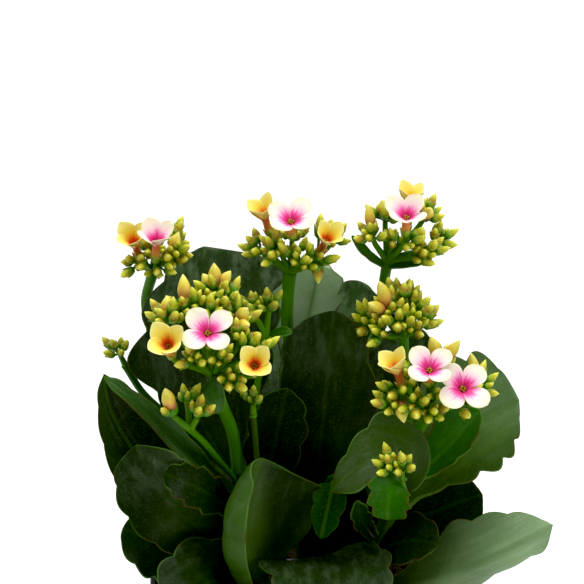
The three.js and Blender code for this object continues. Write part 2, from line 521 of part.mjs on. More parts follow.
// The soil fills the pot up to its crown, with a plain hole for each stem.
function soilPart() {
  const { height, rimRadius, footRadius, wall, lipHeight, lipReach, floor, grooveDepth, sides } = pot;
  const low = footRadius - 0.6 - gap;
  const wide = rimRadius - lipReach - wall - gap;
  const inside = (z) => low + ((wide - low) * (z - floor)) / (height - lipHeight - 1 - floor) - 0.4;
  const bottom = grooveDepth + floor + gap;
  const profile = [[0, bottom], [inside(bottom), bottom], [inside(soil.top - 4), soil.top - 4],
    [soil.shoulder, soil.top], [0, soil.top + soil.crown]];
  const points = profile.map(([r, h]) => new THREE.Vector2(r, h));
  let plug = toSolid(new THREE.LatheGeometry(points, sides).rotateX(Math.PI / 2));
  for (const room of Object.values(stemRoom)) {
    plug = plug.subtract(room);
  }
  return plug;
}

// ---------------------------------------------------------------- the whole plant
const plant = new THREE.Group();

function place(name, geometry, material) {
  const mesh = new THREE.Mesh(geometry, material);
  mesh.name = name;
  plant.add(mesh);
}

place('pot', toGeometry(potPart()), finishes.pot);
place('soil', toGeometry(soilPart()), finishes.soil);
for (const name of Object.keys(stems)) {
  place(`stem_${name}`, toGeometry(toSolid(stemTube(name, 0))), finishes.stem);
}
for (const leaf of leaves) {
  place(leaf.name, toGeometry(leafPart(leaf)), finishes[leaf.finish]);
}
heads.forEach((head, number) => {
  place(head.name, toGeometry(headPart(head, number)), finishes.head);
  head.flowers.forEach((values, count) => {
    const open = readFlower(values);
    const name = `${head.name.replace('head', 'flower')}_${count + 1}`;
    place(name, toGeometry(flowerPart(open)), finishes[open.colour]);
  });
});

export default plant;
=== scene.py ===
import math

import bpy
import numpy as np
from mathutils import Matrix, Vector


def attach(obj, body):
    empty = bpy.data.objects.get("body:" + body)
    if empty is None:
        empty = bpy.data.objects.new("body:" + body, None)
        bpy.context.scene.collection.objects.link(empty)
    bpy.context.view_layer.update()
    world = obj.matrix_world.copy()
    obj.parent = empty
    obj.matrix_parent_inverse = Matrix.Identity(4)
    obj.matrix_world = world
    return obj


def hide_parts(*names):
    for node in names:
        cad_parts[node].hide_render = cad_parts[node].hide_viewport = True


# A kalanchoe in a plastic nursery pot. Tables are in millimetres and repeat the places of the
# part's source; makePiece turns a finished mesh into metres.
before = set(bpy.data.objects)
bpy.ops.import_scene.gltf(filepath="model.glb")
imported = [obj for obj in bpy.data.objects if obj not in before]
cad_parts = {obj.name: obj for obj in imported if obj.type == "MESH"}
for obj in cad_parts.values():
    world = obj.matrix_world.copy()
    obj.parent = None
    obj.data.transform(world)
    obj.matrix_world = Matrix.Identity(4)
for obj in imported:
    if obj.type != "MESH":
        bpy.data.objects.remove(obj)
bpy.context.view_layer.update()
millimetre = 0.001
goldenAngle = math.pi * (3 - math.sqrt(5))


view = {
    "place": (-0.0031, -1.0806, 0.6193),  # 20 degrees above the middle of the photograph
    "lookAt": (-0.0031, 0.0, 0.226),
    "lens": 183.2,
    "sensor": 36.0,
}

studio = {
    "worldColour": (0.93, 0.96, 1.0),
    "worldStrength": 0.13,
    # place, target, width and height in metres, power in watts, colour
    "lamps": {
        "sky": ((0.05, 0.35, 2.3), (0.0, 0.15, 0.0), (3.0, 2.8), 92, (1.0, 1.0, 0.99)),
        "left": ((-1.5, -0.9, 1.25), (0.0, 0.0, 0.2), (0.8, 1.2), 7, (1.0, 0.99, 0.96)),
        "right": ((1.5, -1.1, 1.0), (0.0, 0.0, 0.2), (0.7, 1.1), 14, (0.98, 0.99, 1.0)),
        "gloss": ((-0.25, -1.7, 0.75), (0.0, 0.0, 0.2), (1.1, 0.8), 1.7, (0.92, 1.0, 0.88)),
    },
    "blackLevel": (0.004, 0.004, 0.0065),  # taken off red, green and blue, as in the photograph
    "floorSize": 14.0,
    "floorColour": (0.93, 0.93, 0.925),
    "floorRoughness": 0.6,
}


# A thing is put into the scene at its place, with its own -Z towards a target.
def aim(thing, place, lookAt):
    thing.location = place
    thing.rotation_euler = (Vector(lookAt) - Vector(place)).to_track_quat("-Z", "Y").to_euler()
    bpy.context.scene.collection.objects.link(thing)


# The camera stands where the photograph was taken from.
def makeCamera():
    lens = bpy.data.cameras.new("camera")
    lens.lens = view["lens"]
    lens.sensor_width = view["sensor"]
    thing = bpy.data.objects.new("camera", lens)
    aim(thing, view["place"], view["lookAt"])
    bpy.context.scene.camera = thing
    print("camera:", view["lens"], "mm")


# Area lamps and a dim world; the darkest tones are cut off by the black level.
def makeLights():
    scene = bpy.context.scene
    scene.view_settings.view_transform = "Standard"
    scene.view_settings.use_curve_mapping = True
    scene.view_settings.curve_mapping.black_level = studio["blackLevel"]
    scene.view_settings.curve_mapping.update()
    scene.world = bpy.data.worlds.new("studio")
    scene.world.use_nodes = True
    background = scene.world.node_tree.nodes["Background"]
    background.inputs["Color"].default_value = (*studio["worldColour"], 1)
    background.inputs["Strength"].default_value = studio["worldStrength"]
    for name, (place, lookAt, (wide, high), watts, colour) in studio["lamps"].items():
        lamp = bpy.data.lights.new(name, "AREA")
        lamp.shape = "RECTANGLE"
        lamp.size = wide
        lamp.size_y = high
        lamp.energy = watts
        lamp.color = colour
        thing = bpy.data.objects.new(name, lamp)
        thing.visible_diffuse = name != "gloss"  # a soft box in front that shows only in the gloss
        aim(thing, place, lookAt)
    print("lamps:", len(studio["lamps"]))


# Vectors of length 1; the last axis of every array of vectors is x, y, z.
def unit(vectors):
    return vectors / np.maximum(np.linalg.norm(vectors, axis=-1, keepdims=True), 1e-9)


# A repeatable number from 0 to 1: the fraction of sin(12.9898 counter + 78.233 seed) * 43758.5453.
def scatter(counter, seed):
    value = np.sin(12.9898 * np.asarray(counter, float) + 78.233 * seed) * 43758.5453
    return value - np.floor(value)


# Smooth unevenness at points in millimetres: the mean of sine waves that run in scattered directions,
# each one shorter than the one before, times 1.8 so that it fills -1 to 1.
def waves(points, length, seed, count=9):
    total = np.zeros(points.shape[:-1])
    for k in range(count):
        spin = 2 * math.pi * scatter(k, seed)
        rise = 2 * scatter(k, seed + 0.37) - 1
        flat = math.sqrt(1 - rise * rise)
        direction = np.array([flat * math.cos(spin), flat * math.sin(spin), rise])
        pitch = length * (1.3 - 0.07 * k)
        total += np.sin(points @ direction * 2 * math.pi / pitch + 6.3 * scatter(k, seed + 0.71))
    return total / count * 1.8


# The turn that takes +Z to each direction by the shortest way: 1 + K + K K / (1 + cosine), where K is the
# matrix of the cross product.
def turnTo(directions):
    direction = unit(np.asarray(directions, float))
    x, y, z = direction[..., 0], direction[..., 1], np.maximum(direction[..., 2], -0.9999)
    zero = np.zeros_like(x)
    cross = np.stack([np.stack([zero, zero, x], -1), np.stack([zero, zero, y], -1),
                      np.stack([-x, -y, zero], -1)], -2)
    return np.eye(3) + cross + cross @ cross / (1 + z)[..., None, None]


# The turn about +Z by an angle.
def spinZ(angle):
    c, s = math.cos(angle), math.sin(angle)
    return np.array([[c, -s, 0], [s, c, 0], [0, 0, 1]])


# A lump of mesh: corners in millimetres, four- and three-sided faces, and the values kept at each corner.
def lump(corners, quads, triangles, **kept):
    return {"corners": corners, "quads": quads.reshape(-1, 4).astype(int),
            "triangles": triangles.reshape(-1, 3).astype(int), "kept": kept}


# Several lumps in one. A value that a lump lacks is 0 there.
def join(lumps):
    starts = np.cumsum([0] + [len(one["corners"]) for one in lumps[:-1]])
    tails = {key: value.shape[1:] for one in lumps for key, value in one["kept"].items()}

    def shifted(kind):
        return np.concatenate([one[kind] + start for one, start in zip(lumps, starts)])

    def gathered(key):
        none = [np.zeros((len(one["corners"]), *tails[key])) for one in lumps]
        return np.concatenate([one["kept"].get(key, zeros) for one, zeros in zip(lumps, none)])

    return lump(np.concatenate([one["corners"] for one in lumps]), shifted("quads"), shifted("triangles"),
                **{key: gathered(key) for key in tails})


# The enclosed volume, summed over tetrahedra from the origin to each triangle; inside out it is below 0.
def volume(one):
    c, q, t = one["corners"], one["quads"], one["triangles"]
    thirds = np.concatenate([t, q[:, [0, 1, 2]], q[:, [0, 2, 3]]])
    a, b, d = c[thirds[:, 0]], c[thirds[:, 1]], c[thirds[:, 2]]
    return np.sum(a * np.cross(b, d)) / 6


# Closed rings of corners, rows x around x 3, joined into one skin with a middle corner at either end.
def skin(rings, **kept):
    rows, around = rings.shape[:2]
    index = np.arange(rows * around).reshape(rows, around)
    beside = np.roll(index, -1, axis=1)
    quads = np.stack([index[:-1], beside[:-1], beside[1:], index[1:]], -1)
    first, last = rows * around, rows * around + 1
    start = np.stack([beside[0], index[0], np.full(around, first)], -1)
    end = np.stack([index[-1], beside[-1], np.full(around, last)], -1)
    corners = np.concatenate([rings.reshape(-1, 3), rings[0].mean(0)[None], rings[-1].mean(0)[None]])
    values = {}
    for key, value in kept.items():
        tail = value.shape[2:]
        values[key] = np.concatenate([value.reshape(-1, *tail), value[:1].mean(1), value[-1:].mean(1)])
    one = lump(corners, quads, np.concatenate([start, end]), **values)
    if volume(one) < 0:
        one["quads"] = one["quads"][:, ::-1]
        one["triangles"] = one["triangles"][:, ::-1]
    return one


# A thin closed sheet from its upper and lower grids, rows x columns x 3, with round edges: each edge is
# half a circle whose height is the way from the lower to the upper grid and whose reach is half that,
# outwards.
def sheet(upper, lower, edgeSteps=3, **kept):
    middle = (upper + lower) / 2
    up = (upper - lower) / 2
    angles = np.pi / 2 - np.pi * np.arange(1, edgeSteps + 1) / (edgeSteps + 1)

    def edge(column, inner, order):
        away = unit(middle[:, column] - middle[:, inner])
        out = away * np.linalg.norm(up[:, column], axis=-1, keepdims=True)
        turns = angles[::order]
        return (middle[:, column][:, None] + np.sin(turns)[:, None] * up[:, column][:, None]
                + np.cos(turns)[:, None] * out[:, None])

    rings = np.concatenate([upper, edge(-1, -2, 1), lower[:, ::-1], edge(0, 1, -1)], axis=1)
    values = {}
    for key, (above, below) in kept.items():
        last = np.repeat((above[:, -1:] + below[:, -1:]) / 2, edgeSteps, axis=1)
        first = np.repeat((above[:, :1] + below[:, :1]) / 2, edgeSteps, axis=1)
        values[key] = np.concatenate([above, last, below[:, ::-1], first], axis=1)
    return skin(rings, **values)


# Copies of one lump: corners times a scale, turned and moved, with each copy's own values added.
def copies(one, scales, turns, places, **own):
    count, size = len(places), len(one["corners"])
    corners = np.einsum("nij,nvj->nvi", turns, one["corners"][None] * scales[:, None]) + places[:, None]
    offset = np.arange(count)[:, None, None] * size
    kept = {key: np.tile(value, (count,) + (1,) * (value.ndim - 1)) for key, value in one["kept"].items()}
    kept.update({key: np.repeat(value, size, axis=0) for key, value in own.items()})
    return lump(corners.reshape(-1, 3), one["quads"][None] + offset, one["triangles"][None] + offset, **kept)


# One finished piece: its lumps and their materials in one mesh, in metres, riding on the root body.
def makePiece(name, layers, nodes):
    whole = join([one for one, _ in layers])
    mesh = bpy.data.meshes.new(name)
    faces = whole["quads"].tolist() + whole["triangles"].tolist()
    mesh.from_pydata((whole["corners"] * millimetre).tolist(), [], faces)
    materials = []
    for _, material in layers:
        if material not in materials:
            materials.append(material)
            mesh.materials.append(material)
    worn = [np.full(len(one[kind]), materials.index(material)) for kind in ("quads", "triangles")
            for one, material in layers]
    mesh.polygons.foreach_set("material_index", np.concatenate(worn))
    mesh.polygons.foreach_set("use_smooth", np.ones(len(faces), bool))
    for key, value in whole["kept"].items():
        kind = "FLOAT_VECTOR" if value.ndim == 2 else "FLOAT"
        field = "vector" if value.ndim == 2 else "value"
        mesh.attributes.new(key, kind, "POINT").data.foreach_set(field, value.astype(np.float32).ravel())
    mesh.update()
    piece = bpy.data.objects.new(name, mesh)
    bpy.context.scene.collection.objects.link(piece)
    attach(piece, "root")
    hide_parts(*nodes)
    return piece


# A cubic Bezier curve: its points and its unit tangents at t.
def bezier(points, t):
    a, b, c, d = np.array(points, float)
    s = 1 - t[:, None]
    t = t[:, None]
    place = s**3 * a + 3 * s**2 * t * b + 3 * s * t**2 * c + t**3 * d
    tangent = s**2 * (b - a) + 2 * s * t * (c - b) + t**2 * (d - c)
    return place, unit(tangent)


# A Catmull-Rom spline through points, whose knots lie the square roots of the distances apart.
def smoothPath(points, count):
    p = np.array(points, float)
    p = np.concatenate([[2 * p[0] - p[1]], p, [2 * p[-1] - p[-2]]])
    places = []
    for k in range(1, len(p) - 2):
        near = p[k - 1:k + 3]
        knots = np.concatenate([[0], np.cumsum(np.linalg.norm(np.diff(near, axis=0), axis=1) ** 0.5)])
        t = np.linspace(knots[1], knots[2], count, endpoint=k == len(p) - 3)[:, None]

        def mix(a, b, i, j):
            return (a * (knots[j] - t) + b * (t - knots[i])) / (knots[j] - knots[i])

        a = [mix(near[i], near[i + 1], i, i + 1) for i in range(3)]
        b = [mix(a[0], a[1], 0, 2), mix(a[1], a[2], 1, 3)]
        places.append(mix(b[0], b[1], 1, 2))
    return np.concatenate(places)


# A round stalk along a path: rings across the path's own direction, each as wide as its radius, times a
# swell that depends on the share of the way, and ends closed. No stalk runs the way of aside.
def stalk(path, radius, around=12, tone=0.5, swell=None):
    path = np.asarray(path, float)
    along = unit(np.gradient(path, axis=0))
    aside = [0.13, 0.99, 0.05]
    side = unit(np.cross(along, aside))
    back = np.cross(side, along)
    angle = 2 * np.pi * np.arange(around) / around
    radii = np.broadcast_to(np.asarray(radius, float), len(path))[:, None]
    if swell is not None:
        radii = radii * swell(np.linspace(0, 1, len(path)))[:, None]
    ring = side[:, None] * np.cos(angle)[None, :, None] + back[:, None] * np.sin(angle)[None, :, None]
    rings = path[:, None] + ring * radii[..., None]
    length = np.concatenate([[0], np.cumsum(np.linalg.norm(np.diff(path, axis=0), axis=1))])
    share = (length / length[-1])[:, None]
    place = np.stack(np.broadcast_arrays(angle[None] / (2 * np.pi), share, tone * np.ones((1, 1))), -1)
    return skin(rings, stalkPlace=place)


# A colour as #rrggbb, made linear.
def tint(code):
    shares = [int(code[k:k + 2], 16) / 255 for k in (1, 3, 5)]
    return (*[s / 12.92 if s <= 0.04045 else ((s + 0.055) / 1.055) ** 2.4 for s in shares], 1.0)


# A socket is linked to another one or given a value, where a text is a colour.
def feed(tree, socket, value):
    if isinstance(value, bpy.types.NodeSocket):
        tree.links.new(value, socket)
    else:
        socket.default_value = tint(value) if isinstance(value, str) else value


# A node with its fields set and its inputs fed.
def add(tree, kind, inputs=None, **fields):
    node = tree.nodes.new(kind)
    for field, value in fields.items():
        setattr(node, field, value)
    for name, value in (inputs or {}).items():
        feed(tree, node.inputs[name], value)
    return node


# The way from the first colour to the second.
def blend(tree, factor, first, second, mode="MIX"):
    node = add(tree, "ShaderNodeMix", data_type="RGBA", blend_type=mode)
    for place, value in ((0, factor), (6, first), (7, second)):
        feed(tree, node.inputs[place], value)
    return node.outputs[2]


# Maths on two numbers; times and plus are its usual kinds.
def reckon(tree, operation, first, second=0.0, clamp=False):
    node = add(tree, "ShaderNodeMath", {0: first, 1: second}, operation=operation, use_clamp=clamp)
    return node.outputs[0]


def times(tree, first, second, clamp=False):
    return reckon(tree, "MULTIPLY", first, second, clamp)


def plus(tree, first, second, clamp=False):
    return reckon(tree, "ADD", first, second, clamp)


# Where a value lies between low and high, eased at both ends, as a number from start to end.
def step(tree, value, low, high, start=0.0, end=1.0):
    inputs = {"Value": value, "From Min": low, "From Max": high, "To Min": start, "To Max": end}
    return add(tree, "ShaderNodeMapRange", inputs, interpolation_type="SMOOTHSTEP").outputs[0]


# A colour ramp through stops, each a place and a colour.
def ramp(tree, factor, *stops):
    node = add(tree, "ShaderNodeValToRGB", {"Fac": factor})
    while len(node.color_ramp.elements) < len(stops):
        node.color_ramp.elements.new(0.5)
    for element, (place, colour) in zip(node.color_ramp.elements, stops):
        element.position = place
        element.color = tint(colour)
    return node.outputs["Color"]


def objectPlace(tree):
    return add(tree, "ShaderNodeTexCoord").outputs["Object"]


# Noise on object coordinates, or at a place of its own.
def grain(tree, scale, detail=2.0, place=None, roughness=0.5):
    inputs = {"Vector": place or objectPlace(tree), "Scale": scale, "Detail": detail, "Roughness": roughness}
    return add(tree, "ShaderNodeTexNoise", inputs).outputs["Fac"]


# A value kept in the mesh: its x, y and z, and all of it as one number.
def readKept(tree, name):
    node = add(tree, "ShaderNodeAttribute", attribute_name=name)
    return add(tree, "ShaderNodeSeparateXYZ", {0: node.outputs["Vector"]}).outputs, node.outputs["Fac"]


# A vector from three numbers.
def threeOf(tree, x, y, z=0.0):
    return add(tree, "ShaderNodeCombineXYZ", {"X": x, "Y": y, "Z": z}).outputs[0]


# A bump, over another one where that is given.
def bump(tree, height, strength, depth, under=None):
    inputs = {"Height": height, "Strength": strength, "Distance": depth}
    if under is not None:
        inputs["Normal"] = under
    return add(tree, "ShaderNodeBump", inputs).outputs[0]


# A material with its shader's constant values on the shader's own sockets.
def newMaterial(name, **constants):
    material = bpy.data.materials.new(name)
    material.use_nodes = True
    shader = material.node_tree.nodes["Principled BSDF"]
    for key, value in constants.items():
        shader.inputs[key.replace("_", " ")].default_value = value
    return material, material.node_tree, shader.inputs


# The three finishes of leaves. deep and bright are the two greens, rough and level the ranges of its
# roughness and gloss, strokes are the brushed streaks' scale across and along, even is the share of the
# painted grey sheen that the streaks leave alone, vein and streak say how pale the veins and the streaks'
# painted sheen are.
leafLooks = {
    "dark": {"deep": "#0e2004", "bright": "#1f400a", "rough": (0.24, 0.4), "strokes": (0.24, 9),
             "even": 0.2, "level": (0.04, 0.42), "vein": 0.07, "streak": 0.02},
    "grey": {"deep": "#284410", "bright": "#426220", "rough": (0.28, 0.44), "strokes": (0.45, 4),
             "even": 0.74, "level": (0.1, 0.45), "vein": 0.2, "streak": 0.14},
    "young": {"deep": "#184502", "bright": "#276404", "rough": (0.32, 0.46), "strokes": (0.3, 6),
              "even": 0.4, "level": (0.03, 0.2), "vein": 0.3, "streak": 0.08},
}
# grey is the colour of the painted sheen, shade that of the painted shade, and streak the paler painted
# sheen in some streaks.
leafTints = {
    "yellow": "#3f6008", "grey": "#98b68a", "shade": "#0d1b06", "under": "#2f5212", "vein": "#44701c",
    "rimGreen": "#4c7428", "rimBrown": "#54401f", "speck": "#8a9f7c", "streak": "#5f7d48",
}
leafSkin = {
    "patches": 38.0, "brown": 60.0, "wax": 55.0, "dull": 110.0,  # scales of the grain
    "specks": (1500.0, 0.06),  # scale and strength
    "brushed": 0.5,  # how much of the gloss follows the streaks
    # A full painted shade takes this share of the gloss away.
    "shaded": 0.85,  # how much of the gloss a full shade takes away
    # foot and edge: how far painted shade deepens the green towards the foot and the margin.
    "foot": 0.6, "edge": 0.5,  # how far the green deepens there
    # In painted shade the underside and the margin line weaken; rimShaded keeps some of the line there.
    "under": 0.55, "underDull": 0.15, "rim": 0.6, "rimShaded": 0.3, "sideVeins": 0.4,
    "pebbles": (1100.0, 0.5, 0.00014),  # scale, strength and depth in metres
    "crinkles": (160.0, 0.6, 0.0009),
}


# Two greens in soft patches, which painted shade deepens towards the foot and the margin. The leaf's own
# look turns them yellow, paints on them a grey sheen broken by brushed streaks, some streaks paler with
# painted sheen, or paints them dark as shade. Specks, a pale midrib and veins, a paler underside and a
# thin pale or brownish line at the margin follow. The gloss is waxy in patches. All that lies in painted
# shade has less gloss, and a weaker underside and margin line.
def leafMaterial(finish):
    look = leafLooks[finish]
    material, tree, shader = newMaterial("leaf " + finish, IOR=1.45)
    (reach, along, rim), _ = readKept(tree, "bladePlace")
    (yellow, grey, shade), _ = readKept(tree, "bladeLook")
    vein = readKept(tree, "bladeVein")[1]
    under = readKept(tree, "bladeUnder")[1]
    # lit: how far a place is out of the leaf's painted shade.
    lit = reckon(tree, "SUBTRACT", 1.0, times(tree, shade, leafSkin["shaded"]), True)
    patches = grain(tree, leafSkin["patches"], 3.0)
    colour = blend(tree, step(tree, patches, 0.3, 0.7), look["deep"], look["bright"])
    colour = blend(tree, yellow, colour, leafTints["yellow"])
    # Painted shade: the look's dark shade, then a deeper green towards the foot and the margin.
    colour = blend(tree, shade, colour, leafTints["shade"])
    colour = blend(tree, step(tree, along, 0.0, 0.45, leafSkin["foot"], 0.0), colour, look["deep"])
    colour = blend(tree, step(tree, rim, 0.5, 9.0, leafSkin["edge"], 0.0), colour, look["deep"])

    fine, long = look["strokes"]
    # Painted sheen: the grey tint where the look says, broken by brushed streaks; some streaks are paler
    # with painted sheen.
    brushed = threeOf(tree, times(tree, reach, fine), times(tree, along, long), patches)
    streaks = grain(tree, 0.9, 5.0, brushed, 0.62)
    paintedSheen = times(tree, step(tree, streaks, 0.42, 0.72, look["even"], 1.0), grey)
    colour = blend(tree, paintedSheen, colour, leafTints["grey"])
    colour = blend(tree, step(tree, streaks, 0.5, 0.8, 0.0, look["streak"]), colour, leafTints["streak"])
    many, strong = leafSkin["specks"]
    specks = step(tree, grain(tree, many, 1.0), 0.5, 0.78, 0.0, strong)
    colour = blend(tree, specks, colour, leafTints["speck"])

    midrib = step(tree, reckon(tree, "ABSOLUTE", reach), 0.3, 1.3, look["vein"], 0.0)
    colour = blend(tree, midrib, colour, leafTints["vein"])
    colour = blend(tree, times(tree, vein, look["vein"] * leafSkin["sideVeins"]), colour, leafTints["vein"])
    colour = blend(tree, times(tree, under, times(tree, lit, leafSkin["under"])), colour, leafTints["under"])
    brown = step(tree, grain(tree, leafSkin["brown"]), 0.46, 0.6)
    rimColour = blend(tree, brown, leafTints["rimGreen"], leafTints["rimBrown"])
    line = step(tree, rim, 0.04, 0.3, leafSkin["rim"], 0.0)
    edge = times(tree, line, plus(tree, lit, leafSkin["rimShaded"]))
    feed(tree, shader["Base Color"], blend(tree, edge, colour, rimColour))

    waxy = blend(tree, leafSkin["brushed"], grain(tree, leafSkin["wax"], 3.0), streaks)
    wax = step(tree, waxy, 0.34, 0.72, *look["level"])
    # Painted shade also takes the gloss away.
    feed(tree, shader["Specular IOR Level"], times(tree, wax, lit))
    dulled = blend(tree, leafSkin["brushed"], grain(tree, leafSkin["dull"], 4.0), streaks)
    dull = step(tree, dulled, 0.35, 0.65, *look["rough"])
    feed(tree, shader["Roughness"], plus(tree, dull, times(tree, under, leafSkin["underDull"])))
    scale, strength, depth = leafSkin["pebbles"]
    pebbles = bump(tree, grain(tree, scale, 2.0), strength, depth)
    scale, strength, depth = leafSkin["crinkles"]
    feed(tree, shader["Normal"], bump(tree, grain(tree, scale, 4.0), strength, depth, pebbles))
    return material


# A blade, in millimetres and degrees. half is its greatest half width, face the way its upper side looks,
# path the midrib's Bezier points; sides are shares of half at even steps from foot to tip, left and
# right. look says how far its green goes to yellow, to a painted grey sheen and to a painted dark shade;
# its two ramps, shine and dim, add painted sheen and painted shade to the last two
# by an amount, from one place to another along x, y or z (0, 1 or 2). A leaf below overrides what it names.
blade = {
    "lobes": 4.5, "shift": (0, 0), "notch": 1.5, "teeth": False, "fold": (5, 5), "curl": (12, 12),
    "stalk": 0.12, "widest": 0.56, "round": 2.2,
    # look: yellow, painted grey sheen and painted dark shade; then the ramps of painted sheen and painted
    # shade
    "look": (0, 0, 0), "shine": (0, 2, 0, 1), "dim": (0, 2, 0, 1),
    "stalkHalf": 1.7, "stalkThick": 2.6, "middleThick": 1.8, "marginThick": 0.75, "tipHalf": 0.15,
    "fleshyShare": 0.25, "lobeShape": 0.95, "notchFactor": 1.25, "bulge": 1.5,
    "toothRise": 0.78, "toothDrop": 0.22,  # shares of a tooth's length
    "rowsPerLobe": 16, "columns": 25,
    "footRows": (0, 0.3, 0.6, 0.85), "tipRows": (0.93, 0.96, 0.98, 0.99, 0.996, 1),
    "groove": 0.35, "grooveWidth": 1.1, "rib": 0.5, "ribWidth": 1.5, "ribReach": 1,
    "keel": 0, "keelWidth": 1.3,  # how much paler the midrib is painted
    "veinDepth": 0.1, "veinGap": 7.5, "veinRise": 0.8, "veinWidth": 0.22, "ripple": 0.5, "rippleLength": 26,
}
